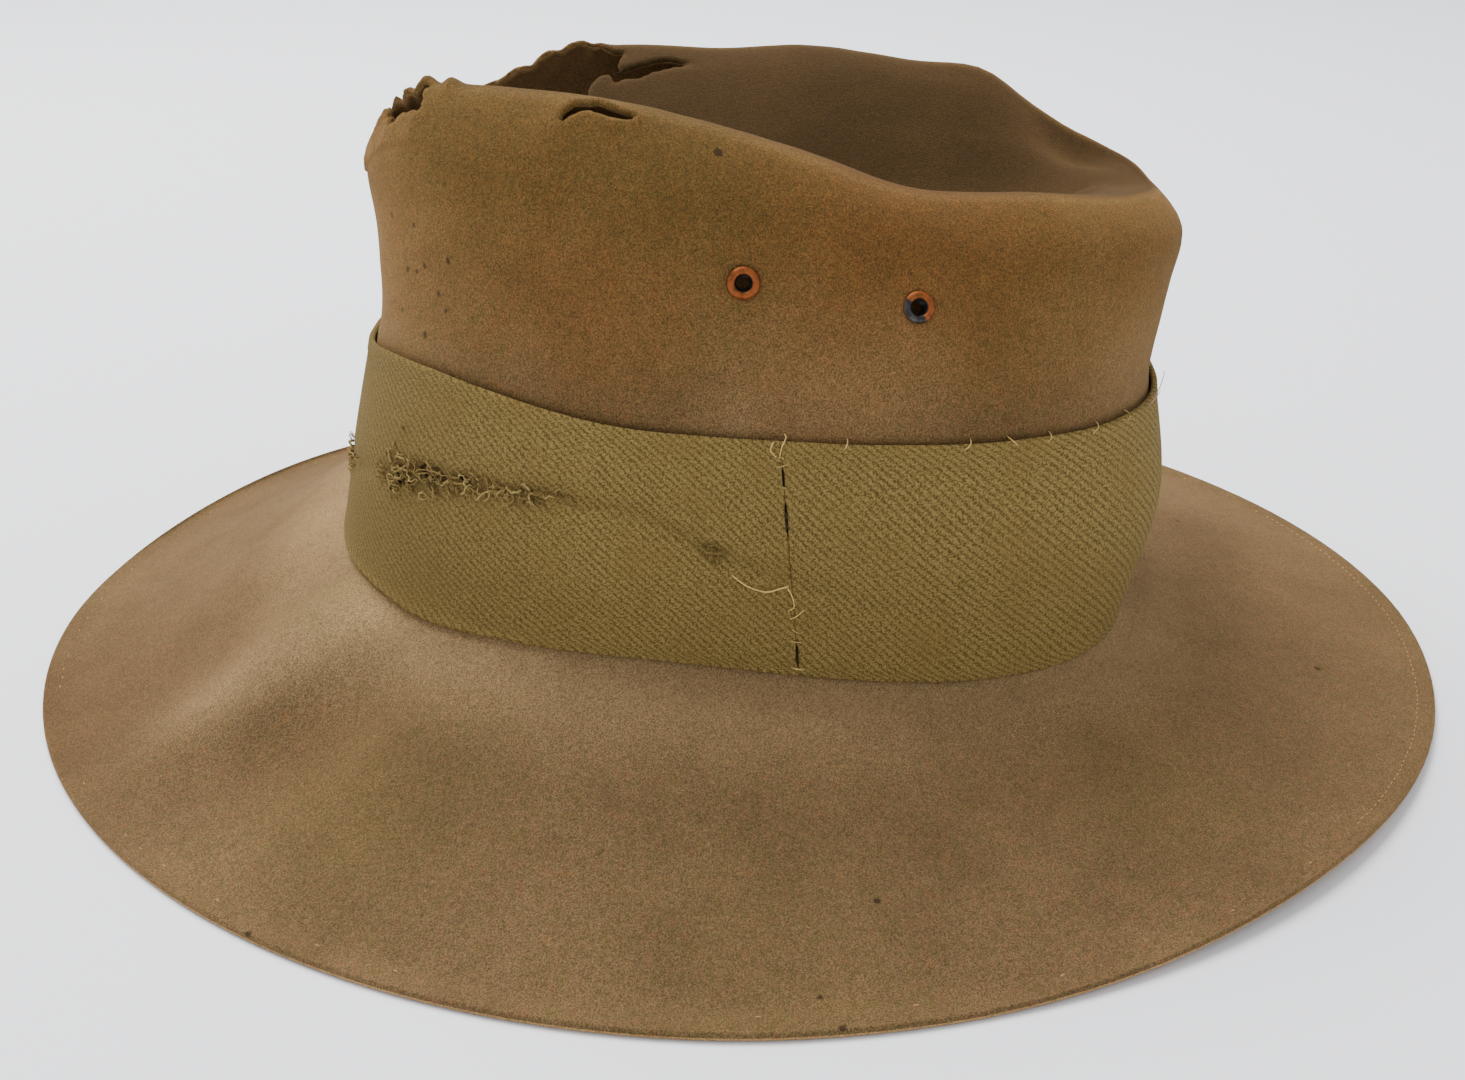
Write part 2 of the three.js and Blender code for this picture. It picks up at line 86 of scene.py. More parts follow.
def curveBetween(s, low, high, slopeLow, slopeHigh, step=1):
    # a smooth curve from low to high as s goes from 0 to 1
    s2, s3 = s * s, s * s * s
    return ((2 * s3 - 3 * s2 + 1) * low + (s3 - 2 * s2 + s) * step * slopeLow
            + (3 * s2 - 2 * s3) * high + (s3 - s2) * step * slopeHigh)


def smoothRows(stations, values, at):
    # a smooth curve through rows at uneven stations
    stations = np.asarray(stations, float)
    values = np.asarray(values, float)
    steps = np.diff(stations)
    chords = np.diff(values) / steps
    slopes = np.concatenate([chords[:1], (chords[:-1] * steps[1:] + chords[1:] * steps[:-1])
                             / (steps[1:] + steps[:-1]), chords[-1:]])
    x = np.clip(at, stations[0], stations[-1])
    i = np.clip(np.searchsorted(stations, x, side="right") - 1, 0, len(steps) - 1)
    s = (x - stations[i]) / steps[i]
    return curveBetween(s, values[i], values[i + 1], slopes[i], slopes[i + 1], steps[i])


def bell(distance, spread):
    return np.exp(-(distance / spread) ** 2)


def turnBetween(a, b):
    return np.mod(a - b + 180, 360) - 180


def easeStep(value, low, high):
    s = np.clip((value - low) / (high - low), 0, 1)
    return s * s * (3 - 2 * s)


def ring(front, back, left, right, squareness, turn):
    c, s = np.cos(np.radians(turn)), np.sin(np.radians(turn))
    lengthwise = np.abs(c / np.where(c >= 0, back, front)) ** squareness
    crosswise = np.abs(s / np.where(s >= 0, left, right)) ** squareness
    r = (lengthwise + crosswise) ** (-1 / squareness)
    return r * s, r * c


def lineHeight(line, turn):
    front, back, left, right, corner = line
    c, s = np.cos(np.radians(turn)), np.sin(np.radians(turn))
    return ((front + back + left + right) / 4 + c * (back - front) / 2 + s * (left - right) / 2
            + (front + back - left - right) / 4 * np.cos(2 * np.radians(turn))
            + corner * bell(turnBetween(turn, cornerTurn), cornerSpread))


def feltRows(turn):
    # every row of the felt at these turns: rows, turns, xyz
    foot = hat["footHeight"] * lineHeight(footLine, turn)
    band = foot + hat["bandHeight"] * lineHeight(bandLine, turn)
    crestTurns = [row[0] + shift for shift in (-360, 0, 360) for row in crestRows]
    crest = hat["crownHeight"] * smoothRows(crestTurns, [row[1] for row in crestRows] * 3, turn)
    length, width = hat["crownLength"] / 2, hat["crownWidth"] / 2
    walls = []
    for front, back, left, right, squareness, rise in wallRows:
        x, y = ring(front * length, back * length, left * width, right * width, squareness, turn)
        z = foot + (band - foot) * min(rise, 1) + (crest - band) * max(rise - 1, 0)
        walls.append(np.stack([x, y, z], -1))
    edgeX, edgeY = ring(hat["brimLength"] / 2, hat["brimLength"] / 2, hat["brimWidth"] / 2,
                        hat["brimWidth"] / 2, hat["edgeSquareness"], turn)
    inX, inY, inZ = walls[0].T
    brim = [np.stack([inX + (edgeX - inX) * out, inY + (edgeY - inY) * out,
                      hat["thickness"] + (inZ - hat["thickness"]) * climb], -1)
            for out, climb in brimRows]
    topX, topY, topZ = walls[-1].T
    along = [row[0] * length for row in valleyRows]
    middle, half = (along[0] + along[-1]) / 2, (along[-1] - along[0]) / 2
    dent = []
    for share, drop in dentRows:
        y = topY * share + (middle + half * np.cos(np.radians(turn))) * (1 - share)
        floor = hat["crownHeight"] * smoothRows(along, [row[1] for row in valleyRows], y)
        aside = width * smoothRows(along, [row[2] for row in valleyRows], y)
        dent.append(np.stack([aside + (topX - aside) * share, y,
                              topZ + (floor - topZ) * drop], -1))
    return np.array(brim + walls + dent)


def feltPoint(turn, level):
    turn = np.mod(turn, 360)
    zipped = np.where((level >= lastLevel) & (turn > 180), 360 - turn, turn)
    rows = feltRows(zipped)
    slopes = np.concatenate([rows[1:2] - rows[:1], (rows[2:] - rows[:-2]) / 2,
                             rows[-1:] - rows[-2:-1]])
    i = np.clip(np.floor(level).astype(int), 0, lastLevel - 1)
    each = np.arange(len(turn))
    s = (np.clip(level, 0, lastLevel) - i)[:, None]
    point = curveBetween(s, rows[i, each], rows[i + 1, each], slopes[i, each],
                         slopes[i + 1, each])
    fade = 1 - easeStep(level, lastLevel - 1, lastLevel)
    for at, spread, atLevel, levels, out, up in foldRows:
        amount = fade * bell(turnBetween(turn, at), spread) * bell(level - atLevel, levels)
        point[:, 0] += amount * out * hat["crownWidth"] * np.sin(np.radians(turn))
        point[:, 1] += amount * out * hat["crownWidth"] * np.cos(np.radians(turn))
        point[:, 2] += amount * up * hat["footHeight"]
    resting = hat["settle"] * (1 - easeStep(level, 1, 2))
    lift = point[:, 2] - hat["thickness"] - resting
    point[:, 2] = hat["thickness"] + np.maximum(lift, 0)
    return point


def unit(vectors):
    return vectors / np.maximum(np.linalg.norm(vectors, axis=-1, keepdims=True), 1e-9)


def feltNormal(turn, level):
    low = np.maximum(level - 0.04, 0)
    high = np.minimum(level + 0.04, lastLevel - 0.04)
    side = np.minimum(level, high)
    around = feltPoint(turn + 0.5, side) - feltPoint(turn - 0.5, side)
    up = feltPoint(turn, np.maximum(high, low + 0.04)) - feltPoint(turn, low)
    normal = unit(np.cross(up, around))
    away = np.stack([np.sin(np.radians(turn)), np.cos(np.radians(turn)), np.ones(len(turn))], -1)
    wall = level <= crestLevel
    facing = np.where(wall, (normal * away).sum(-1), normal[:, 2])
    normal *= np.where(facing < 0, -1, 1)[:, None]
    share = np.minimum(easeStep(level, 1, 2), 1 - easeStep(level, lastLevel - 1, lastLevel))
    return unit(normal * share[:, None] + np.array([0, 0, 1]) * (1 - share[:, None]))


def noiseAt(points, size, seed=0):
    # smooth noise from about -1 to 1 whose lumps are about size across
    return np.array([noise.noise(Vector((x / size + seed, y / size, z / size)))
                     for x, y, z in points])


def seatOn(turn, level):
    # centre, way round towards the back, way up and way out of a spot on the felt
    at, by = np.array([float(turn)]), np.array([float(level)])
    centre, out = feltPoint(at, by)[0], feltNormal(at, by)[0]
    around = feltPoint(at - 1, by)[0] - feltPoint(at + 1, by)[0]
    around = unit(around - out * around.dot(out))
    return centre, around, np.cross(out, around), out


def hexToLinear(code):
    parts = [int(code[i:i + 2], 16) / 255 for i in (1, 3, 5)]
    return [p / 12.92 if p <= 0.04045 else ((p + 0.055) / 1.055) ** 2.4 for p in parts] + [1.0]


def addNode(tree, kind, settings=None, links=None, output=0):
    # settings are the node's own properties; links fill its sockets, by name or number, with a
    # number, a hex colour or another node's output
    node = tree.nodes.new("ShaderNode" + kind)
    for name, value in (settings or {}).items():
        setattr(node, name, value)
    for name, value in (links or {}).items():
        socket = node.inputs[name]
        if isinstance(value, bpy.types.NodeSocket):
            tree.links.new(value, socket)
        elif isinstance(value, str):
            socket.default_value = hexToLinear(value)[:len(socket.default_value)]
        else:
            socket.default_value = value
    return node.outputs[output] if node.outputs else node


def startMaterial(name, look):
    # a material whose shader has the look's plain values, and a dictionary of what it reads
    material = bpy.data.materials.new(name)
    material.use_nodes = True
    tree = material.node_tree
    tree.nodes.clear()
    shader = addNode(tree, "BsdfPrincipled", links=look["finish"])
    addNode(tree, "OutputMaterial", links={"Surface": shader})
    seen = {attribute: addNode(tree, "Attribute", {"attribute_name": attribute}, output="Fac")
            for attribute in look.get("attributes", ())}
    return material, tree, shader.node.inputs, seen


def readSteps(tree, look, seen, place=None):
    # adds the look's patterns, over the place in millimetres, then its steps: a name, what it
    # does, and its terms, which are numbers or the names of what is seen so far
    if place is None:
        metres = addNode(tree, "TexCoord", output="Object")
        place = addNode(tree, "VectorMath", {"operation": "SCALE"}, {0: metres, "Scale": 1000})
    seen["place"] = place
    for name, (scale, detail, roughness, distortion) in look["patterns"].items():
        seen[name] = addNode(tree, "TexNoise", links={
            "Vector": place, "Scale": scale, "Detail": detail, "Roughness": roughness,
            "Distortion": distortion})
    for name, how, *terms in look["steps"]:
        how, _, clamped = how.partition(" ")
        if how in ("LINEAR", "SMOOTHSTEP"):
            kind, settings = "MapRange", {"interpolation_type": how}
        else:
            kind, settings = "Math", {"operation": how, "use_clamp": clamped == "clamped"}
        seen[name] = addNode(tree, kind, settings,
                             {i: seen.get(term, term) for i, term in enumerate(terms)})


def mixColours(tree, look, seen, layers):
    # lays colours over the main one, each by its share, then scales the mix by the shades
    mixed = look["main"]
    for colour, share in layers:
        mixed = addNode(tree, "Mix", {"data_type": "RGBA"},
                        {0: seen[share], 6: mixed, 7: look[colour]}, 2)
    for shade in look.get("shades", ()):
        mixed = addNode(tree, "VectorMath", {"operation": "SCALE"},
                        {0: mixed, "Scale": seen[shade]})
    return mixed


def endMaterial(tree, look, seen, sockets, colour):
    tree.links.new(colour, sockets["Base Color"])
    if "bump" in look:
        height, distance, strength = look["bump"]
        bump = addNode(tree, "Bump", {}, {"Height": seen[height], "Distance": distance,
                                          "Strength": strength})
        tree.links.new(bump, sockets["Normal"])


def patternedMaterial(name, look):
    material, tree, sockets, seen = startMaterial(name, look)
    readSteps(tree, look, seen)
    mixed = mixColours(tree, look, seen, look["layers"])
    endMaterial(tree, look, seen, sockets, mixed)
    return material


def addObject(name, data):
    item = bpy.data.objects.new(name, data)
    bpy.context.scene.collection.objects.link(item)
    return item


def turnTowards(item, place, aim):
    item.location = place
    item.rotation_euler = (Vector(aim) - Vector(place)).to_track_quat("-Z", "Y").to_euler()


def newPiece(name, verts, faces, material):
    mesh = bpy.data.meshes.new(name)
    mesh.from_pydata([tuple(v) for v in np.asarray(verts) * mm], [], faces)
    mesh.validate()
    mesh.shade_smooth()
    mesh.materials.append(material)
    piece = addObject(name, mesh)
    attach(piece, "root")
    return piece


def addFloats(piece, name, values):
    layer = piece.data.attributes.new(name, "FLOAT", "POINT")
    layer.data.foreach_set("value", np.asarray(values, np.float32))


# Camera at the photograph's angle, above the floor
camera = {"eye": (404.06, -1.54, 215.8), "aim": (51.95, -1.54, 48.1), "lens": 41.3, "sensor": 36}


def placeCamera():
    data = bpy.data.cameras.new("photoCamera")
    data.lens = camera["lens"]
    data.sensor_width = camera["sensor"]
    data.clip_start = 0.01
    item = addObject("photoCamera", data)
    turnTowards(item, Vector(camera["eye"]) * mm, Vector(camera["aim"]) * mm)
    bpy.context.scene.camera = item


placeCamera()
print("camera placed")

# Eyelets: thin rings rolled over the felt's edge and turned out behind it
eyelets = {
    "places": [("eyelet_left_front", 89.5, 10.0), ("eyelet_left_back", 62.5, 10.04),
               ("eyelet_right_front", 270.5, 10.0), ("eyelet_right_back", 297.5, 10.04)],
    "flange": 6.8, "bore": 2.6, "metal": 0.5, "gap": 0.3, "sides": 40, "hole": 4.7,
    "section": [  # a radius and how far beyond it, a height and how far above it
        ("bore", 0, "back", 0), ("bore", 0, "seat", -1.1), ("bore", 0.25, "seat", -0.4),
        ("bore", 0.55, "seat", 0.3), ("bore", 0.8, "seat", 0.58), ("bore", 1.2, "seat", 0.64),
        ("flange", -0.4, "seat", 0.44), ("flange", -0.08, "seat", 0.16), ("flange", 0, "seat", 0),
        ("flange", -0.2, "seat", -0.1), ("barrel", 0, "seat", -0.05), ("barrel", 0, "back", 0),
        ("barrel", 0.9, "back", 0), ("barrel", 0.9, "back", -0.25), ("barrel", 0, "back", -0.5),
        ("bore", 0.1, "back", -0.4),
    ],
    "boreFaces": 3, "frontFaces": 7,  # how many of the section's lie in the bore and in front
    "rubbed": {"eyelet_left_back": (0.42, 0.84)},  # share of a turn from and to
}

# Holes torn in the felt: what is left of it is where tearDistance is above zero
tears = {
    "top": [  # the torn floor of the dent seen from above: x, y, lobes to the next corner
        (25, -84, 1), (22.5, -77, 2), (23.5, -71, 2), (27, -62.5, 3), (26, -55, 3),
        (16, -48, 5), (-8, -45, 4), (-27, -43, 2), (-33.7, -38.5, 1), (-38.4, -36.8, 1),
        (-40.4, -33, 1), (-40.6, -29.6, 1), (-48.5, -30.5, 1), (-52.3, -36, 1), (-52, -42, 2),
        (-51, -48, 3), (-44.5, -62, 4), (-30, -82, 1),
    ],
    "front": [  # the notch in the front wall seen from the front: x, z, lobes
        (31.8, 138.2, 0), (28.2, 140.6, 1), (27.4, 144.8, 1), (31.5, 148.5, 1), (40, 152, 1),
        (48, 162, 1), (-64, 162, 4), (-40, 131.25, 3), (-16, 123, 3), (13, 123, 2),
        (22, 130, 1), (27, 136, 1),
    ],
    "bites": [  # splits in the felt as outlines: turn, level, lobes to the next corner
        [(157.6, 12.0, 1), (154.4, 11.62, 1), (151.8, 11.42, 0), (150.2, 11.4, 1),
         (147.4, 11.5, 1), (144.9, 11.42, 0), (145.5, 11.7, 1), (145.6, 12.02, 0),
         (147.2, 12.12, 1), (150, 12.02, 1), (152.6, 12.05, 0), (153.6, 12.25, 1),
         (156, 12.16, 0)],
        [(121.6, 11.58, 0), (120.3, 11.87, 0), (118.2, 11.91, 0), (116.5, 11.93, 0),
         (113.8, 11.89, 0), (110.2, 11.87, 0), (109.6, 11.81, 0), (111.5, 11.74, 0),
         (113.6, 11.73, 0), (115.8, 11.78, 0), (117.5, 11.8, 0), (119, 11.75, 0),
         (120.2, 11.64, 0), (121, 11.52, 0)],
        [(240, 13.26, 0), (244.6, 13.11, 0), (248.3, 12.97, 0), (251.2, 12.88, 0),
         (254.2, 12.9, 0), (257, 12.98, 0), (256.6, 13.05, 0), (254.2, 13.05, 0),
         (251.6, 13.09, 0), (249, 13.17, 0), (245.5, 13.31, 0), (240, 13.4, 0)],
        [(315.2, 13.86, 0), (316.9, 13.9, 0), (316.6, 14.0, 0), (315.4, 13.98, 0)],
    ],
    "middle": -64, "topFrom": 11.3, "lobeReach": 1.3, "chewSize": 2.4, "chewDepth": 0.7,
    "degree": 1.45, "row": 13,  # millimetres to a degree and to a level at the crest
    "petals": [  # edges that stand up: turn, spread, level, levels, rise
        (147.6, 2.4, 12.3, 0.4, 2.3), (142.4, 1.7, 12.2, 0.3, 1.6), (151.4, 1.1, 12.1, 0.4, 1.6),
        (155, 1.1, 12.1, 0.4, 1.5), (158.8, 1.3, 12.0, 0.4, 1.5), (149.6, 0.7, 12.1, 0.4, -0.9),
        (153.2, 0.7, 12.1, 0.4, -1.0), (157, 0.8, 12.0, 0.4, -1.0),
        (144.8, 0.9, 12.2, 0.3, -0.7), (231, 4.4, 12, 0.7, 2.3),
        (225, 2.6, 12, 0.6, 1.8), (219, 2, 12, 0.5, 1.0), (116.5, 3, 12.05, 0.12, 0.35),
        (228, 1.0, 12, 0.5, -0.6), (234.5, 1.0, 12, 0.5, -0.5), (222, 0.9, 12, 0.5, -0.6),
    ],
}


def lobedOutline(corners):
    points = []
    for (x, z, lobes), (nextX, nextZ, _) in zip(corners, corners[1:] + corners[:1]):
        start, along = np.array([x, z]), np.array([nextX - x, nextZ - z])
        aside = np.array([-along[1], along[0]]) / np.linalg.norm(along)
        steps = max(abs(lobes) * 6, 1)
        for s in np.arange(steps) / steps:
            points.append(start + along * s
                          + aside * tears["lobeReach"] * np.sign(lobes)
                          * abs(math.sin(math.pi * lobes * s)))
    return np.array(points)


def fromSegment(points, a, b):
    # the way to each point from the nearest spot of a straight line from a to b
    along = b - a
    share = np.clip(((points - a) @ along) / (along @ along), 0, 1)
    return points - a - share[:, None] * along


def outlineDistance(points, outline):
    # distance to a closed outline in the plane, negative inside it
    nearest = np.full(len(points), 1e9)
    inside = np.zeros(len(points), bool)
    for a, b in zip(outline, np.roll(outline, -1, axis=0)):
        nearest = np.minimum(nearest, np.linalg.norm(fromSegment(points, a, b), axis=1))
        crosses = (a[1] > points[:, 1]) != (b[1] > points[:, 1])
        rise = b[1] - a[1] if b[1] != a[1] else 1e-9
        inside ^= crosses & (points[:, 0] < (points[:, 1] - a[1]) / rise * (b[0] - a[0]) + a[0])
    return np.where(inside, -nearest, nearest)


def tearDistance(points, turn, level):
    # how far a point is from the nearest torn edge, below zero where the felt has gone
    torn = np.full(len(points), 30.0)
    high = points[:, 2] > 90
    near = points[high]
    top = np.maximum(outlineDistance(near[:, :2], lobedOutline(tears["top"])),
                     (tears["topFrom"] - level[high]) * tears["row"])
    front = np.maximum(outlineDistance(near[:, [0, 2]], lobedOutline(tears["front"])),
                       near[:, 1] - tears["middle"])
    either = np.minimum(top, front)
    close = np.abs(either) < 6
    either[close] += (noiseAt(near[close], tears["chewSize"], 7)
                      + noiseAt(near[close], tears["chewSize"] * 2.7, 3)) * tears["chewDepth"]
    torn[high] = either
    chart = np.stack([turn * tears["degree"], level * tears["row"]], -1)
    rough = np.zeros(len(points))
    rough[high] = noiseAt(near, tears["chewSize"] * 0.8, 17) * 0.4
    for bite in tears["bites"]:
        corners = [(at * tears["degree"], row * tears["row"], -lobes) for at, row, lobes in bite]
        torn = np.minimum(torn, outlineDistance(chart, lobedOutline(corners)) + rough)
    for _, at, row in eyelets["places"]:
        centre = seatOn(at, row)[0]
        torn = np.minimum(torn, np.linalg.norm(points - centre, axis=1) - eyelets["hole"] / 2)
    return torn


def largestPatch(faces, count):
    # the faces that hang together as one, without the crumbs that a trim cuts loose
    owner = list(range(count))

    def ownerOf(i):
        while owner[i] != i:
            owner[i] = owner[owner[i]]
            i = owner[i]
        return i

    for face in faces:
        for other in face[1:]:
            owner[ownerOf(other)] = ownerOf(face[0])
    owners = [ownerOf(face[0]) for face in faces]
    names, counts = np.unique(owners, return_counts=True)
    largest = names[counts.argmax()]
    return [face for face, name in zip(faces, owners) if name == largest]


def trimGrid(across, along, kept, wraps):
    # cuts a grid of places along the line where kept is zero; across turns full circle if it wraps
    rows, columns = kept.shape
    kept = kept.ravel()
    acrossOf, alongOf = list(across.ravel()), list(along.ravel())
    crossings, faces = {}, []

    def cross(a, b):
        key = (min(a, b), max(a, b))
        if key not in crossings:
            crossings[key] = len(acrossOf)
            share = kept[key[0]] / (kept[key[0]] - kept[key[1]])
            step = acrossOf[key[1]] - acrossOf[key[0]]
            step = turnBetween(step, 0) if wraps else step
            acrossOf.append(acrossOf[key[0]] + step * share)
            alongOf.append(alongOf[key[0]] + (alongOf[key[1]] - alongOf[key[0]]) * share)
        return crossings[key]

    for row in range(rows - 1):
        for column in range(columns if wraps else columns - 1):
            beside = (column + 1) % columns
            corners = [row * columns + column, (row + 1) * columns + column,
                       (row + 1) * columns + beside, row * columns + beside]
            inside = [kept[i] > 0 for i in corners]
            if all(inside):
                faces.append(corners)
            elif any(inside):
                face = []
                for k, corner in enumerate(corners):
                    if inside[k]:
                        face.append(corner)
                    if inside[k] != inside[(k + 1) % 4]:
                        face.append(cross(corner, corners[(k + 1) % 4]))
                if len(face) > 2:
                    faces.append(face)
    return np.array(acrossOf), np.array(alongOf), largestPatch(faces, len(acrossOf))


def rounding(edge, bevel):
    # how far a face draws in where its edge is near, so that the cut edge is round
    return bevel - np.sqrt(np.maximum(bevel ** 2 - np.clip(bevel - edge, 0, bevel) ** 2, 0))


def sheetPiece(name, outer, inner, faces, material, meets=None):
    # a closed sheet of two faces and a rim, which is left out where the sheet meets itself
    count = len(outer)
    edges = {(a, b) for face in faces for a, b in zip(face, face[1:] + face[:1])}
    rim = [[b, a, a + count, b + count] for a, b in edges
           if (b, a) not in edges and not (meets is not None and meets[a] and meets[b])]
    used = sorted({i for face in faces for i in face})
    place = {old: new for new, old in enumerate(used)}
    place.update({old + count: new + len(used) for new, old in enumerate(used)})
    under = [[i + count for i in reversed(face)] for face in faces]
    allFaces = [[place[i] for i in face] for face in faces + under + rim]
    piece = newPiece(name, np.concatenate([outer[used], inner[used]]), allFaces, material)
    addFloats(piece, "inside", np.repeat([0.0, 1.0], len(used)))
    return piece, np.array(used)


# The felt: one closed sheet, finest where it is torn
felt = {
    "plainColumns": 44, "sideColumns": 32, "tornColumns": 66, "eyeletColumns": 7,
    "rows": [0, 11, 10, 8, 7, 2, 2, 2, 9, 15, 13, 19, 15, 14, 12, 10],
    "edgeRound": 0.95, "buckle": 0.5, "buckleSize": 30, "dimple": 0.18, "dimpleSize": 9,
    "curl": 1.2, "curlReach": 3.5, "curlFrom": 11, "edgeWidth": 4.6,  # millimetres to level 1
    "ridge": [  # a sharp fold on the brim from the foot of the band, seen from above: x, y
        (58, -82), (64.6, -88.7), (68.6, -94.2), (71.5, -99.9), (74.5, -107.6), (76, -115.4),
        (78, -126), (82, -134),
    ],
    "ridgeRise": 1.6, "ridgeSharp": 7, "ridgeBroad": 17, "dip": 1.0, "dipAway": 17, "dipBroad": 12,
    "ridgeDustAndHighlightWidth": 9,
}


def feltTurns():
    half = np.concatenate([
        np.linspace(0, 105, felt["plainColumns"], endpoint=False),
        *[at + np.linspace(-2.3, 2.3, felt["eyeletColumns"]) for at in (62.5, 89.6)],
        np.linspace(105, 128, felt["sideColumns"], endpoint=False),
        np.linspace(128, 180, felt["tornColumns"], endpoint=False),
    ])
    half = np.sort(half)
    half = half[np.concatenate([[True], np.diff(half) > 0.25])]
    return np.concatenate([half, [180], 360 - half[:0:-1]])


def feltLevels():
    levels = [0, 0.03, 0.08, 0.15, 0.25, 0.45, 0.7]
    for start, count in enumerate(felt["rows"]):
        levels += list(start + np.arange(count) / max(count, 1))
    return np.array(levels + [lastLevel], float)


def ridgeDistance(points):
    # distance in plan to the line of the brim's sharp fold, negative on its front side
    nearest, side = np.full(len(points), 1e9), np.ones(len(points))
    line = np.array(felt["ridge"], float)
    for a, b in zip(line, line[1:]):
        apart = fromSegment(points, a, b)
        distance = np.linalg.norm(apart, axis=1)
        closer = distance < nearest
        nearest[closer] = distance[closer]
        turned = (b - a)[0] * apart[:, 1] - (b - a)[1] * apart[:, 0]
        side[closer] = np.sign(turned)[closer]
    return nearest * side


def feltRelief(points, level):
    # slack and small dents that the felt has taken in wear, none where the cloth or floor bears
    free = easeStep(np.abs(level - 6.5), 1.7, 2.4) * easeStep(level, 1, 2.2)
    slack = noiseAt(points, felt["buckleSize"], 11) * felt["buckle"]
    away = ridgeDistance(points[:, :2])
    spread = np.where(away > 0, felt["ridgeSharp"], felt["ridgeBroad"])
    onBrim = 1 - easeStep(level, 4, 5)
    slack += onBrim * felt["ridgeRise"] * bell(away, spread)
    slack -= onBrim * felt["dip"] * bell(away - felt["dipAway"], felt["dipBroad"])
    return free * (slack + noiseAt(points, felt["dimpleSize"], 5) * felt["dimple"])


def feltAt(turn, level):
    point, out = feltPoint(turn, level), feltNormal(turn, level)
    place = point + out * feltRelief(point, level)[:, None]
    for at, spread, atLevel, levels, rise in tears["petals"]:
        place[:, 2] += rise * bell(turnBetween(turn, at), spread) * bell(level - atLevel, levels)
    return place, out


def makeFelt(material):
    turns, levels = np.meshgrid(feltTurns(), feltLevels())
    flat, _ = feltAt(turns.ravel(), levels.ravel())
    kept = tearDistance(flat, turns.ravel(), levels.ravel()).reshape(turns.shape)
    turn, level, faces = trimGrid(turns, levels, kept, True)
    points, outs = feltAt(turn, level)
    torn = np.concatenate([kept.ravel(), np.zeros(len(turn) - kept.size)])
    raised = felt["curl"] * np.exp(-np.maximum(torn, 0) / felt["curlReach"])
    raised *= (level > felt["curlFrom"]) * easeStep(np.abs(level - 14), 1.2, 1.9)
    points = points + outs * raised[:, None]
    fromEdge = np.where(level < 1, level * felt["edgeWidth"], 30)
    inset = rounding(np.minimum(torn, fromEdge), felt["edgeRound"])
    outer = points - outs * inset[:, None]
    inner = points - outs * (hat["thickness"] - inset)[:, None]
    inner[:, 2] = np.maximum(inner[:, 2], 0)
    piece, used = sheetPiece("feltHat", outer, inner, faces, material, level > lastLevel - 1e-6)
    addFloats(piece, "level", np.tile(level[used], 2))
    # a pale band on the lit side of the brim's ridge: dust, and a painted highlight
    dust = bell(ridgeDistance(points[:, :2]) + felt["ridgeDustAndHighlightWidth"] / 2, felt["ridgeDustAndHighlightWidth"])
    dust *= easeStep(level, 1.2, 2.6) * (1 - easeStep(level, 4.6, 5))
    addFloats(piece, "dust", np.tile(dust[used], 2))
    weld = piece.modifiers.new("weld", "WELD")
    weld.merge_threshold = 0.00001
    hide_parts("felt_body")


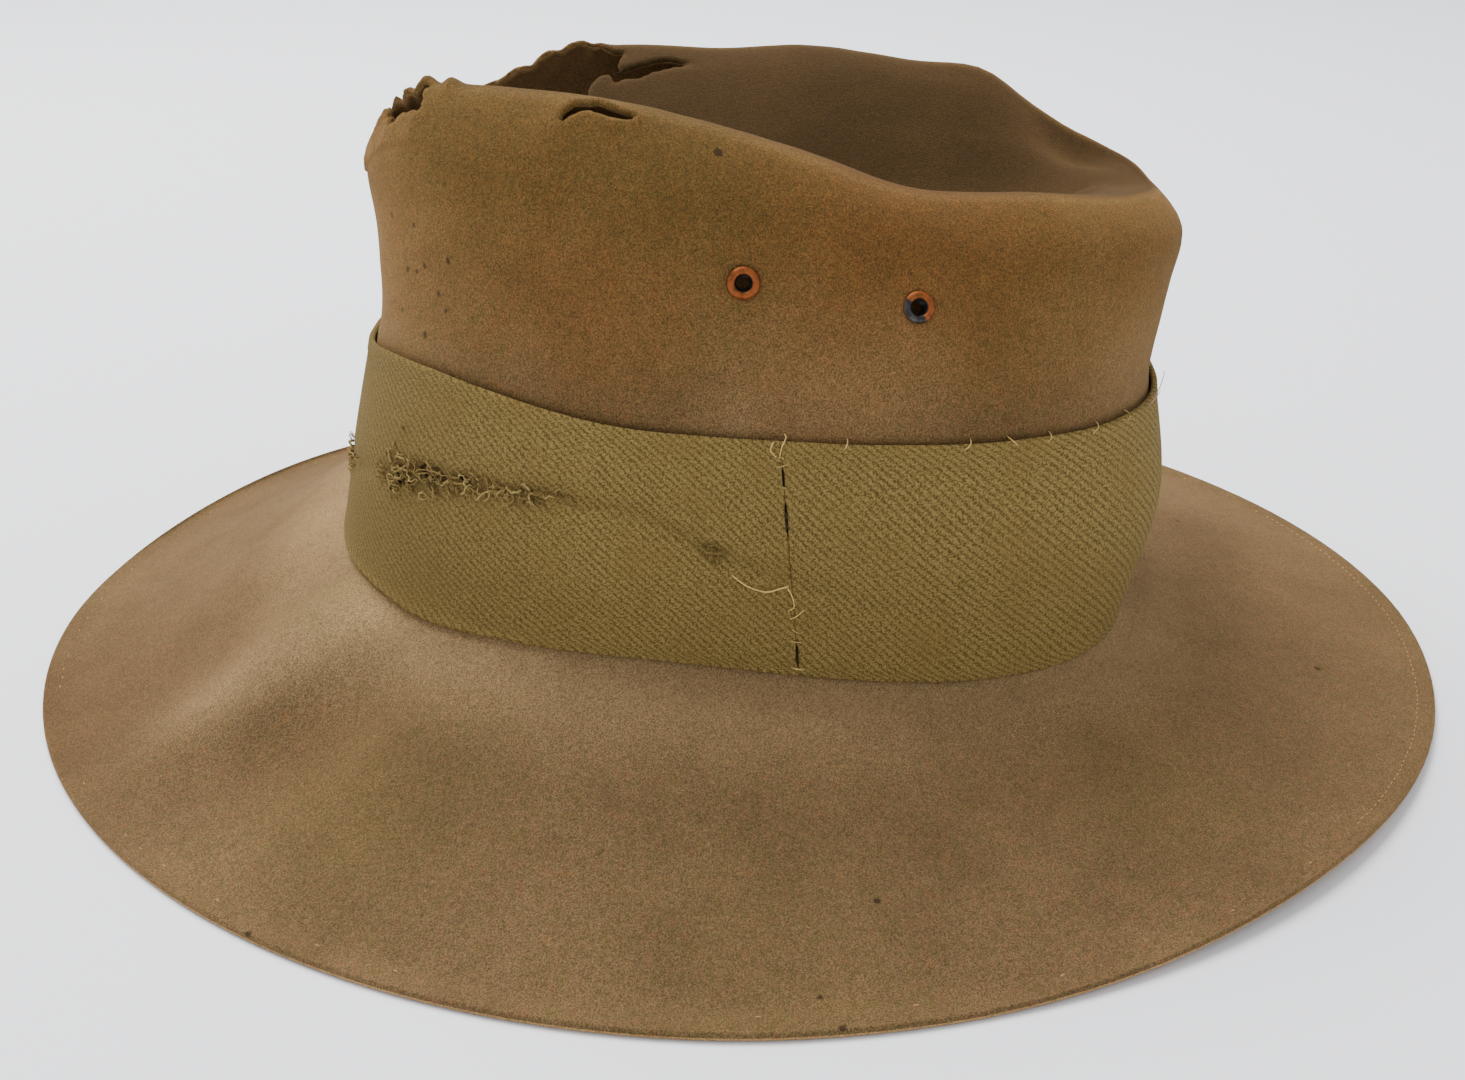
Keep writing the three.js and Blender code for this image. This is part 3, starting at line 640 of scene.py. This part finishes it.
# Fur felt: wet-felted hair, brushed and worn; matt, mottled in brown and olive, soft at edges
feltLook = {
    "main": "#6b4c21", "dusty": "#5e4a31", "olive": "#4a411a", "rust": "#743d18",
    # inner, the colour of the felt's inside face, is paler than the outside as painted light in the
    # crown's shaded inside
    "dent": "#2b1e0a", "inner": "#93734a", "rubbed": "#8d7450", "paintedShadeBrown": "#4a3520",
    "moth": "#1c140a", "attributes": ["level", "inside", "dust"],
    "finish": {  # its sheen is the nap, which catches light at the rims
        "Roughness": 0.95, "Specular IOR Level": 0.15, "Sheen Weight": 0.3,
        "Sheen Roughness": 0.55, "Sheen Tint": "#c0935a",
    },
    "patterns": {  # lumps to a millimetre, detail, roughness, distortion; hair is drawn coarser
        "blotch": (1 / 30, 5, 0.62, 0.3), "mottle": (1 / 2.3, 6, 0.78, 0),
        "fibre": (1 / 0.62, 2, 0.6, 1.8), "grain": (1 / 0.34, 1, 0.5, 0),
    },
    "steps": [
        # the brim and the crown's ends are dusty and faded, the middle of the crown is not
        ("faded", "SMOOTHSTEP", "level", 6, 12, 1, 0.05),
        ("fadedMore", "MULTIPLY_ADD clamped", "blotch", 1.1, -0.55),
        ("dustShare", "ADD clamped", "faded", "fadedMore"),
        ("oliveShare", "LINEAR", "mottle", 0.52, 0.38, 0, 0.46),
        ("rustShare", "LINEAR", "mottle", 0.52, 0.68, 0, 0.3),
        # the dent is darker, partly with dirt and partly as painted shade; foot, fold and crest are
        # paler
        ("dirtShare", "SMOOTHSTEP", "level", 11.9, 12.6, 0, 0.86),
        # painted light: the brim near the foot is made paler where the band's shade falls
        ("nearFoot", "SMOOTHSTEP", "level", 2.8, 4.8, 0, 0.6),
        ("belowCloth", "LESS_THAN", "level", 5.4),
        ("footShare", "MULTIPLY", "nearFoot", "belowCloth"),
        # the ridge adds dust and a painted highlight on its lit side
        ("foldShare", "MULTIPLY_ADD", "dust", 0.5, "footShare"),
        # a thin painted highlight along the crest; the rubbed colour here is painted light at foot,
        # ridge and crest
        ("atCrest", "COMPARE", "level", 12, 0.12),
        ("rubbedShare", "MULTIPLY_ADD clamped", "atCrest", 0.1, "foldShare"),
        # the top of the crown has browned in patches
        ("topShade", "SMOOTHSTEP", "level", 9.2, 11.6, 1.06, 0.8),
        ("patches", "LINEAR", "blotch", 0.32, 0.68, 0.84, 1.14),
        ("browned", "MULTIPLY", "topShade", "patches"),
        # pale and dark hairs, and the height of the pile
        ("speckle", "MULTIPLY", "fibre", "grain"),
        ("hair", "LINEAR", "speckle", 0.14, 0.38, 0.52, 1.5),
        ("lumps", "MULTIPLY_ADD", "mottle", 0.8, "fibre"),
        ("pile", "MULTIPLY_ADD", "grain", 0.5, "lumps"),
    ],
    "layers": [  # colours laid over the main one, and how much of each
        ("dusty", "dustShare"), ("olive", "oliveShare"), ("rust", "rustShare"),
        ("dent", "dirtShare"), ("inner", "inside"), ("rubbed", "rubbedShare"),
    ],
    "shades": ["browned", "hair"], "bump": ("pile", 0.0004, 0.6),  # metres, share
    "stains": [  # turn, level, reach in millimetres, colour, share
        (62, 11.1, 42, "rust", 0.22), (126, 2.3, 48, "olive", 0.3), (150, 4.2, 22, "olive", 0.25),
        (140, 11.5, 36, "olive", 0.35), (105, 11.4, 40, "olive", 0.3), (48, 2.4, 36, "olive", 0.25),
        (90, 1.6, 60, "olive", 0.16), (78, 8.6, 30, "rust", 0.15), (112, 9.6, 30, "rust", 0.15),
        (70, 8.8, 28, "rubbed", 0.2), (88, 8.6, 26, "rubbed", 0.2), (28, 9.0, 26, "rubbed", 0.16),
        # the dark brown stains on this line are painted shade: on the shaded side of the brim's
        # fold, and along the brim's left edge against its sheen
        (133, 2.9, 30, "paintedShadeBrown", 0.3), (140, 2.4, 22, "paintedShadeBrown", 0.22), (162, 1.0, 64, "paintedShadeBrown", 0.6),
    ],
    "mothHoles": [  # turn, level, radius in millimetres
        (145, 9.42, 0.5), (142.5, 9.42, 0.4), (140.5, 9.5, 0.45), (137.5, 9.25, 0.4),
        (136, 9.08, 0.45), (135.5, 9.62, 0.35), (140, 8.5, 0.5), (149.5, 10, 0.5),
        (152, 11.1, 0.5), (155.5, 11.12, 0.45), (94, 11.58, 0.8), (15, 2.0, 0.7),
        (344.5, 2.83, 0.6), (78.5, 1.96, 0.5), (84.5, 1.21, 0.4), (83.5, 0.33, 0.6),
        (125.5, 0.12, 0.6), (150, 9.0, 0.35), (147, 8.9, 0.3), (143, 9.9, 0.35),
    ],
    "mothEdge": (0.7, 1.2), "mothRagged": 1.6, "mothShare": 0.85,  # the edge adds to the radius
}


def feltMaterial():
    material, tree, sockets, seen = startMaterial("furFelt", feltLook)
    readSteps(tree, feltLook, seen)

    def distanceFrom(turn, row):
        return addNode(tree, "VectorMath", {"operation": "DISTANCE"},
                       {0: seen["place"], 1: seatOn(turn, row)[0]}, "Value")

    layers = list(feltLook["layers"])
    for number, (turn, row, reach, colour, most) in enumerate(feltLook["stains"]):
        name = "stain" + str(number)
        seen[name] = addNode(tree, "MapRange", {"interpolation_type": "SMOOTHSTEP"},
                             {0: distanceFrom(turn, row), 1: 0, 2: reach, 3: most, 4: 0})
        layers.append((colour, name))
    mixed = mixColours(tree, feltLook, seen, layers)
    eaten = 0
    bare, whole = feltLook["mothEdge"]
    for turn, row, radius in feltLook["mothHoles"]:
        ragged = addNode(tree, "Math", {"operation": "MULTIPLY_ADD"},
                         {0: seen["mottle"], 1: feltLook["mothRagged"], 2: distanceFrom(turn, row)})
        hole = addNode(tree, "MapRange", {}, {0: ragged, 1: radius + bare, 2: radius + whole,
                                              3: feltLook["mothShare"], 4: 0})
        eaten = addNode(tree, "Math", {"operation": "MAXIMUM"}, {0: eaten, 1: hole})
    holed = addNode(tree, "Mix", {"data_type": "RGBA"},
                    {0: eaten, 6: mixed, 7: feltLook["moth"]}, 2)
    endMaterial(tree, feltLook, seen, sockets, holed)
    return material


makeFelt(feltMaterial())
print("felt made")

# The puggaree: a strip of twill sewn end to end at the wearer's left
cloth = {
    "thickness": 1.5, "gap": 0.45, "seamFoot": 80.5, "seamTop": 84, "around": 560, "tall": 54,
    "columns": 520, "rows": 44, "edgeRound": 0.7,
    "openSeam": [(0.68, 0.065), (0.11, 0.05), (0.84, 0.04)],  # height, half-length
    "crease": [  # turn, height, depth
        (40, 0.3, 0), (55, 0.31, 0.15), (68, 0.34, 0.3), (82, 0.44, 0.6), (94, 0.52, 0.9),
        (99, 0.6, 0.85), (105, 0.66, 0.8), (118, 0.67, 0.75), (127, 0.635, 0.5),
        (138, 0.6, 0.45), (150, 0.5, 0.3), (168, 0.4, 0.3), (185, 0.4, 0),
    ],
    "pits": [(93.8, 0.525, 2.1, 1.0), (121, 0.63, 3.0, 0.6)],  # turn, height, spread, depth
    "holes": [  # turn, height, half-length, half-height
        (142.9, 0.535, 2.3, 1.5), (136.4, 0.6, 3.9, 1.3), (131.2, 0.625, 1.6, 0.7),
        (166.2, 0.39, 1.6, 1.6), (146.5, 0.5, 1.2, 0.8),
    ],
    "threadbare": [(140, 0.56, 6, 2), (128, 0.62, 7, 0.8), (166, 0.39, 3, 3)],
    "hem": 4.2, "hemDepth": 0.22,
    "gape": 0.42, "gapeRest": 0.12,  # how round the strip's ends are, open and sewn
    "pull": 0.45, "pullRest": 0.04, "pullReach": 1.6,  # and how far they draw apart
    "nearEnd": [0, 0.0004, 0.001, 0.002], "farEnd": [0.998, 0.999, 0.9996, 1],  # grid lines
    "foot": [0, 0.006, 0.014, 0.028], "top": [0.972, 0.986, 0.994, 1],
    "ragged": 0.9, "raggedSize": 1.7, "edgeWander": 0.22, "edgeWanderSize": 14,
}
riseSteps = np.linspace(0, 3, 301)  # levels up from the foot, and how far up the band each is
rises = smoothRows(range(4), [0.0, 0.15, 0.55, 1.0], riseSteps)


def clothTurn(share, height):
    return cloth["seamFoot"] + (cloth["seamTop"] - cloth["seamFoot"]) * height + 360 * share


def clothLevel(height):
    return footLevel + np.interp(height, rises, riseSteps)


def clothAt(turn, height):
    level = clothLevel(height)
    return feltPoint(turn, level), feltNormal(turn, level)


def clothSwell(turn, height):
    # how far the cloth's face stands out or draws in: rolls, the long crease, pits and the hem
    swell = np.zeros(len(turn))
    for at, spread, atHeight, reach, outBy in bandFolds:
        swell += (outBy * cloth["thickness"] * bell(turnBetween(turn, at), spread)
                  * bell(height - atHeight, reach))
    turns = [row[0] for row in cloth["crease"]]
    line = np.interp(np.mod(turn, 360), turns, [row[1] for row in cloth["crease"]])
    depth = np.interp(np.mod(turn, 360), turns, [row[2] for row in cloth["crease"]])
    press = depth * bell((height - line) * cloth["tall"], 1.9)
    for at, atHeight, spread, deep in cloth["pits"]:
        around = turnBetween(turn, at) * cloth["around"] / 360
        press += deep * bell(np.hypot(around, (height - atHeight) * cloth["tall"] * 1.6), spread)
    top = (1 - height) * cloth["tall"]
    press += cloth["hemDepth"] * easeStep(top, cloth["hem"] - 0.5, cloth["hem"] + 0.5)
    return swell, press


def spotDistance(turn, height, spots):
    # least distance to a set of oval spots on the cloth, below zero inside one
    least = np.full(len(turn), 30.0)
    for at, atHeight, halfLong, halfTall in spots:
        u = turnBetween(turn, at) * cloth["around"] / 360
        v = (height - atHeight) * cloth["tall"]
        rho = np.hypot(u / halfLong, v / halfTall)
        least = np.minimum(least, np.hypot(u, v) * (1 - 1 / np.maximum(rho, 1e-3)))
    return least


def makeCloth(material):
    lists = [np.concatenate([low[:-1], np.linspace(low[-1], high[0], cloth[count]), high[1:]])
             for low, high, count in ((cloth["nearEnd"], cloth["farEnd"], "columns"),
                                      (cloth["foot"], cloth["top"], "rows"))]
    shares, heights = np.meshgrid(*lists)
    turn = clothTurn(shares.ravel(), heights.ravel())
    places, _ = clothAt(turn, heights.ravel())
    spots = spotDistance(turn, heights.ravel(), cloth["holes"])
    ragged = noiseAt(places, cloth["raggedSize"], 9) * cloth["ragged"]
    spots = np.where(spots < 5, spots + ragged, spots)
    share, height, faces = trimGrid(shares, heights, spots.reshape(shares.shape), False)
    turn = clothTurn(share, height)
    under, out = clothAt(turn, height)
    swell, press = clothSwell(turn, height)
    holes = np.concatenate([spots, np.zeros(len(share) - len(spots))])
    endwise = np.minimum(share, 1 - share) * cloth["around"]
    gape = sum(cloth["gape"] * (1 - easeStep(np.abs(height - at), half * 0.7, half))
               for at, half in cloth["openSeam"]) + cloth["gapeRest"]
    upright = np.minimum(height, 1 - height) * cloth["tall"]
    inset = np.maximum(rounding(np.minimum(upright, holes), cloth["edgeRound"]),
                       rounding(endwise / np.maximum(gape, 0.05), 1) * gape)
    around = unit(np.cross(np.array([0, 0, 1.0]), out)) * np.where(share < 0.5, 1, -1)[:, None]
    pull = cloth["pull"] * np.maximum(gape - cloth["gapeRest"], 0) + cloth["pullRest"]
    pull *= bell(endwise, cloth["pullReach"])
    under = under - around * pull[:, None]
    wander = noiseAt(under, cloth["edgeWanderSize"], 21) * cloth["edgeWander"]
    under[:, 2] += wander * bell(upright, 3)
    lift = cloth["gap"] + swell
    # the faces never cross, and the pressed cloth keeps clear of the felt
    outside = np.maximum(lift + cloth["thickness"] - press - inset, 0.3)
    inside = np.minimum(lift + np.minimum(inset, 0.6), outside - 0.15)
    outer, inner = under + out * outside[:, None], under + out * inside[:, None]
    piece, used = sheetPiece("puggareeCloth", outer, inner, faces, material)
    bare = spotDistance(turn, height, cloth["threadbare"])[used]
    addFloats(piece, "ribAlong", np.tile(share[used] * cloth["around"], 2))
    addFloats(piece, "ribUp", np.tile(height[used] * cloth["tall"], 2))
    addFloats(piece, "threadbare", np.tile(1 - easeStep(bare, -2, 3), 2))
    addFloats(piece, "pressed", np.tile(press[used], 2))
    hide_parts("puggaree")
    return piece


# Wool twill: ribs of thick soft yarn that step in short grains, olive khaki, hairy and dull
twillLook = {
    "main": "#665428", "rib": "#c5a75f", "warm": "#9a783e", "bare": "#6a552c",
    "slope": -42,  # degrees that the ribs lean from the strip's length
    "attributes": ["ribAlong", "ribUp", "pressed", "threadbare"],
    "finish": {
        "Roughness": 0.93, "Specular IOR Level": 0.15, "Sheen Weight": 0.07,
        "Sheen Roughness": 0.6, "Sheen Tint": "#c4ae7c",
    },
    "patterns": {  # as for the felt; the fuzz is coarser than wool hair, so that it shows
        "wander": (0.05, 1, 0.5, 0), "jitter": (1.1, 1, 0.5, 0), "fuzz": (2.1, 4, 0.85, 0),
        "age": (0.06, 5, 0.5, 0),
    },
    "steps": [
        ("bend", "MULTIPLY_ADD", "wander", 1.4, "acrossRib"),
        ("bendMore", "MULTIPLY_ADD", "jitter", 1.1, "bend"),
        ("phase", "MULTIPLY", "bendMore", 2 * math.pi / 1.62),  # a rib every 1.62 mm
        ("ribs", "SINE", "phase"),
        ("crown", "SMOOTHSTEP", "ribs", -1, 0.4, -0.42, 0.3),
        # the yarn steps in grains 0.8 mm long, half a grain on from rib to rib
        ("halfPhase", "MULTIPLY", "phase", 0.5),
        ("uneven", "MULTIPLY_ADD", "jitter", 2.2, "alongRib"),
        ("grainPhase", "MULTIPLY_ADD", "uneven", 2 * math.pi / 0.8, "halfPhase"),
        ("grains", "SINE", "grainPhase"),
        ("weave", "MULTIPLY_ADD", "grains", 0.42, "crown"),
        ("height", "MULTIPLY_ADD", "fuzz", 8.5, "weave"),
        ("tint", "LINEAR", "height", 3.4, 5.2, 0, 1),
        ("aged", "LINEAR", "age", 0.45, 0.75, 0, 0.4),
        # painted shade lies in the creases and towards the front; threadbare cloth is darker with
        # wear
        ("creased", "MULTIPLY_ADD clamped", "pressed", 0.28, -0.08),
        ("fromFront", "SUBTRACT", "ribAlong", 155),
        ("apart", "ABSOLUTE", "fromFront"),
        ("frontal", "SMOOTHSTEP", "apart", 45, 115, 0.5, 0),
        ("grime", "ADD", "frontal", "creased"),
        ("worn", "MULTIPLY_ADD clamped", "threadbare", 0.34, "grime"),
    ],
    # the bare colour carries both the threadbare wear and the painted shade
    "layers": [("rib", "tint"), ("warm", "aged"), ("bare", "worn")],
    "bump": ("height", 0.00022, 0.9),  # metres, share
}


def twillMaterial():
    material, tree, sockets, seen = startMaterial("woolTwill", twillLook)
    flat = addNode(tree, "CombineXYZ", {}, {0: seen["ribAlong"], 1: seen["ribUp"]})
    turned = addNode(tree, "VectorRotate", {"rotation_type": "Z_AXIS"},
                     {"Vector": flat, "Angle": math.radians(twillLook["slope"])})
    parts = addNode(tree, "SeparateXYZ", {}, {0: turned}).node.outputs
    seen["alongRib"], seen["acrossRib"] = parts[0], parts[1]
    readSteps(tree, twillLook, seen, flat)
    mixed = mixColours(tree, twillLook, seen, twillLook["layers"])
    endMaterial(tree, twillLook, seen, sockets, mixed)
    return material


band = makeCloth(twillMaterial())
print("puggaree made")

# Sewing thread: two-ply cotton, matt, pale on the band; dark tubes fill the open seam as painted
# shade
threadLook = {
    "pale": "#dcb670", "ochre": "#a98450", "dark": "#3b301d", "pink": "#c89a84",
    "olive": "#7c6638", "straw": "#9f8850",
    "finish": {"Roughness": 0.85, "Specular IOR Level": 0.2},
    "patterns": {"ply": (2.6, 2, 0.5, 0)},
    "steps": [("plied", "LINEAR", "ply", 0.3, 0.7, 0.7, 1.15)],
    "layers": [], "shades": ["plied"],
}
fiveSteps = (-1, -0.5, 0, 0.5, 1)  # from one end of a stitch to the other
sewing = {
    "brim": {"level": 1.0, "pitch": 2.3, "length": 1.0, "radius": 0.16, "wander": 0.006,
             "plain": [(8, 22, 0.18)],  # turn, spread, how proud
             "clear": 0.03, "faint": 0.12, "sunk": -0.12},  # shown if so proud, or by this chance
    "whip": [(57.1, 0.9), (50.7, -0.6), (45.4, 0.8), (37.6, 1.4), (74.3, 0.5), (30.5, 0.9)],
    "whipBends": [(1, 7.92, 1.6), (0.6, 7.95, 2.1), (0, 7.99, 2.2), (-0.5, 8.02, 1.2),
                  (-0.7, 8.04, 0)],  # share of the lean, level, off the felt
    "whipRadius": 0.13, "crossRadius": 0.09, "crossOff": (1.7, 2.1, 2.15, 2.1, 1.7),
    "loose": [  # colour, radius, then turn, level and how far out at each bend
        ("pale", 0.21, [(82.4, 6.68, 1.9), (83.6, 6.67, 2.8), (86, 6.63, 3.2), (89, 6.68, 3.4),
                        (91.2, 6.76, 3.0)]),
        ("pale", 0.16, [(82.6, 6.66, 2.0), (81.9, 6.6, 3.0), (81.6, 6.5, 3.2), (82.4, 6.44, 2.6),
                        (82.2, 6.4, 2.2)]),
        ("pale", 0.16, [(82.2, 6.34, 2.0), (81.2, 6.4, 3.0), (80, 6.47, 2.8)]),
        ("pale", 0.16, [(84.6, 7.84, 2.0), (85.4, 7.93, 3.0), (85.0, 8.03, 3.2)]),
        ("pale", 0.16, [(84.0, 7.86, 2.0), (83.8, 7.96, 3.0), (83.2, 8.1, 3.6), (83.4, 8.16, 3.4)]),
        ("pink", 0.13, [(20, 7.93, 1.9), (18.5, 8.05, 3.0), (17.5, 8.3, 3.6), (18.2, 8.42, 3.4)]),
        ("pink", 0.13, [(24, 7.93, 1.9), (23, 8.02, 3.2), (22, 8.1, 3.9)]),
    ],
    "cross": [  # level, how wide across the seam in degrees, slant
        (7.84, 0.6, 0.02), (7.76, 0.9, -0.02), (7.57, 0.6, 0.0), (6.2, 0.9, 0.03),
        (6.06, 1.1, 0.0), (5.36, 1.0, 0.0), (5.42, 0.8, 0.02),
    ],
    # dark tubes down the open seam, as painted shade in its gap
    "seamLine": [(7.8, 7.5, 0.1), (7.4, 7.2, 0.38), (7.1, 6.7, 0.09), (6.24, 6.12, 0.2),
                 (5.98, 5.6, 0.17)],  # from level, to level, radius
    "fray": [  # around the worn holes: turn, height, spread along, spread up, strands
        (141, 0.56, 3.6, 2.4, 40), (145, 0.52, 2.4, 2.0, 14), (134, 0.6, 3.6, 1.2, 22),
        (127, 0.625, 3.4, 0.8, 20), (121.5, 0.645, 2.6, 0.7, 14), (116.5, 0.665, 2, 0.6, 7),
        (167, 0.39, 1.5, 2.6, 14), (160, 0.44, 3, 1.5, 8), (93.8, 0.52, 0.8, 0.7, 5),
    ],
}


def addTube(verts, faces, points, radii, sides=5):
    # a closed thread along points, each with its own radius
    points = np.asarray(points, float)
    start = len(verts)
    count = len(points)
    for i in range(count):
        way = unit(points[min(i + 1, count - 1)] - points[max(i - 1, 0)])
        side = np.cross(way, [0.3, 0.2, 1.0])
        side = unit(side) if np.linalg.norm(side) > 1e-3 else np.array([1.0, 0, 0])
        rise = np.cross(way, side)
        for k in range(sides):
            angle = 2 * math.pi * k / sides
            verts.append(points[i] + (side * math.cos(angle) + rise * math.sin(angle)) * radii[i])
    for i in range(count - 1):
        for k in range(sides):
            j = (k + 1) % sides
            a, b = start + i * sides, start + (i + 1) * sides
            faces.append([a + k, a + j, b + j, b + k])
    faces.append([start + k for k in reversed(range(sides))])
    faces.append([start + (count - 1) * sides + k for k in range(sides)])


def alongCurve(points, steps):
    # a smooth path through points, evenly by point number
    points = np.asarray(points, float)
    at = np.linspace(0, len(points) - 1, steps)
    return np.stack([smoothRows(range(len(points)), points[:, k], at) for k in range(3)], -1)


def onFelt(places):
    # turn, level and height off the felt for each place
    turn, level, off = np.asarray(places, float).T
    return feltPoint(turn, level) + feltNormal(turn, level) * off[:, None]


def threadPiece(name, verts, faces, colour):
    material = patternedMaterial(colour + "Thread", {**threadLook, "main": threadLook[colour]})
    newPiece(name, verts, faces, material)


def sewBrim():
    made = sewing["brim"]
    verts, faces = [], []
    dice = np.random.default_rng(4)
    turn = 0.0
    while turn < 360:
        here = feltPoint(np.array([turn, turn + 0.5]), np.array([made["level"]] * 2))
        degree = np.linalg.norm(here[1] - here[0]) * 2
        proud = sum(up * bell(turnBetween(turn, at), spread) for at, spread, up in made["plain"])
        level = made["level"] + dice.normal() * made["wander"]
        if proud > made["clear"] or dice.random() < made["faint"]:
            half = made["length"] / degree / 2
            ends, shoulders = made["sunk"], proud * 0.7 - 0.02
            bends = [(turn + half * side, level, off) for side, off in
                     zip(fiveSteps, (ends, shoulders, proud, shoulders, ends))]
            addTube(verts, faces, onFelt(bends), [made["radius"]] * 5)
        turn += made["pitch"] / degree
    threadPiece("brimStitches", verts, faces, "ochre")


def sewBand():
    made = {colour: ([], []) for colour in ("pale", "pink", "dark", "olive", "straw")}
    dice = np.random.default_rng(11)
    for turn, height, alongBy, upBy, strands in sewing["fray"]:
        for _ in range(strands):
            at = np.array([dice.normal() * alongBy, dice.normal() * upBy])
            way = dice.uniform(0, 2 * math.pi)
            bends = []
            for k in range(7):
                off = 1.5 * math.sin(math.pi * k / 6) * dice.uniform(0.3, 1)
                bends.append((turn + at[0] * 360 / cloth["around"],
                              clothLevel(height + at[1] / cloth["tall"]),
                              cloth["thickness"] + 0.3 + off))
                way += dice.normal() * 0.9
                at += np.array([math.cos(way), math.sin(way) * 0.8]) * dice.uniform(0.4, 1.0)
            yarn = made["straw" if dice.random() < 0.25 else "olive"]
            thick = dice.uniform(0.14, 0.34)
            addTube(*yarn, onFelt(bends), list(np.linspace(thick, thick * 0.4, 7)))
    for turn, lean in sewing["whip"]:
        bends = [(turn + lean * share, level, off) for share, level, off in sewing["whipBends"]]
        addTube(*made["pale"], alongCurve(onFelt(bends), 9), [sewing["whipRadius"]] * 9)
    for colour, radius, bends in sewing["loose"]:
        path = alongCurve(onFelt(bends), 8 * len(bends))
        addTube(*made[colour], path, list(np.linspace(radius, radius * 0.6, len(path))))

    def seamTurnAt(level):
        return clothTurn(0, np.interp(level - footLevel, riseSteps, rises))

    for level, wide, slant in sewing["cross"]:
        bends = [(seamTurnAt(level) + wide * side, level + slant * side, off)
                 for side, off in zip(fiveSteps, sewing["crossOff"])]
        addTube(*made["pale"], onFelt(bends), [sewing["crossRadius"]] * 5)
    # painted shade: dark tubes lie along the open seam
    for high, low, radius in sewing["seamLine"]:
        levels = np.linspace(high, low, 9)
        wave = 0.34 * np.sin(np.arange(9) * 0.9 + high * 9) + 0.1 * np.sin(np.arange(9) * 2.9)
        bends = [(seamTurnAt(level) + w, level, 1.6) for level, w in zip(levels, wave)]
        addTube(*made["dark"], onFelt(bends), [0.05] + [radius] * 7 + [0.05])
    for colour, (verts, faces) in made.items():
        threadPiece(colour + "SeamThread", verts, faces, colour)


sewBrim()
sewBand()
print("stitches and loose threads made")

# Eyelet metal: stamped steel under copper, tarnished orange, dark blue-grey where it wore off
metalLook = {
    "copper": {"main": "#87481c", "spots": "#552c12",
               "finish": {"Metallic": 0.75, "Roughness": 0.5}},
    # the steel's paler spots are painted glints; the copper's darker spots are tarnish
    "steel": {"main": "#282523", "spots": "#504d4a",
              "finish": {"Metallic": 0.7, "Roughness": 0.42}},
    "patterns": {"stain": (0.8, 5, 0.5, 0)},
    "steps": [("spotted", "LINEAR", "stain", 0.45, 0.7, 0, 0.8)],
    "layers": [("spots", "spotted")],
}


def makeEyelet(name, turn, level, copper, steel):
    centre, around, up, out = seatOn(turn, level)
    sides, flange = eyelets["sides"], eyelets["flange"] / 2
    seat = eyelets["gap"] + flange ** 2 / hat["crownWidth"]
    spots = {"bore": eyelets["bore"] / 2, "flange": flange, "seat": seat,
             "barrel": eyelets["bore"] / 2 + eyelets["metal"], "back": -hat["thickness"] - seat}
    profile = [(spots[radius] + beyond, spots[height] + above)
               for radius, beyond, height, above in eyelets["section"]]
    verts, faces, bare = [], [], []
    rubFrom, rubTo = eyelets["rubbed"].get(name, (2, 2))
    for i in range(sides):
        angle = 2 * math.pi * i / sides
        way = around * math.cos(angle) + up * math.sin(angle)
        verts += [centre + way * r + out * h for r, h in profile]
    n = len(profile)
    for i in range(sides):
        j = (i + 1) % sides
        for k in range(n):
            following = (k + 1) % n
            faces.append([i * n + k, i * n + following, j * n + following, j * n + k])
            rubbed = rubFrom < i / sides < rubTo and k < eyelets["frontFaces"]
            bare.append(k < eyelets["boreFaces"] or rubbed)
    piece = newPiece(name + "_ring", verts, faces, copper)
    piece.data.materials.append(steel)
    for face, isBare in zip(piece.data.polygons, bare):
        face.material_index = int(isBare)
    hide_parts(name)


copper = patternedMaterial("tarnishedCopper", {**metalLook, **metalLook["copper"]})
steel = patternedMaterial("bareSteel", {**metalLook, **metalLook["steel"]})
for name, turn, level in eyelets["places"]:
    makeEyelet(name, turn, level, copper, steel)
print("eyelets made")

# Studio: a pale floor, pale surroundings and one broad soft light from the upper left
studio = {
    "finish": {"Base Color": "#eff0f3", "Roughness": 0.9}, "reach": 8, "below": 0.0002,
    "world": "#eef1f6", "worldStrength": 1.18,
    "keyPlace": (-0.6, -0.6, 1.75), "keyAim": (0, 0, 0.05), "keySize": 1.5, "keyPower": 78,
}


def buildStudio():
    mesh = bpy.data.meshes.new("floor")
    far, low = studio["reach"], -studio["below"]
    mesh.from_pydata([(-far, -far, low), (far, -far, low), (far, far, low), (-far, far, low)],
                     [], [[0, 1, 2, 3]])
    mesh.materials.append(startMaterial("paleFloor", studio)[0])
    addObject("floor", mesh)
    world = bpy.data.worlds.new("studioAir")
    world.use_nodes = True
    back = world.node_tree.nodes["Background"]
    back.inputs["Color"].default_value = hexToLinear(studio["world"])
    back.inputs["Strength"].default_value = studio["worldStrength"]
    bpy.context.scene.world = world
    data = bpy.data.lights.new("softKey", "AREA")
    data.size = studio["keySize"]
    data.energy = studio["keyPower"]
    turnTowards(addObject("softKey", data), studio["keyPlace"], studio["keyAim"])


buildStudio()
print("studio built")
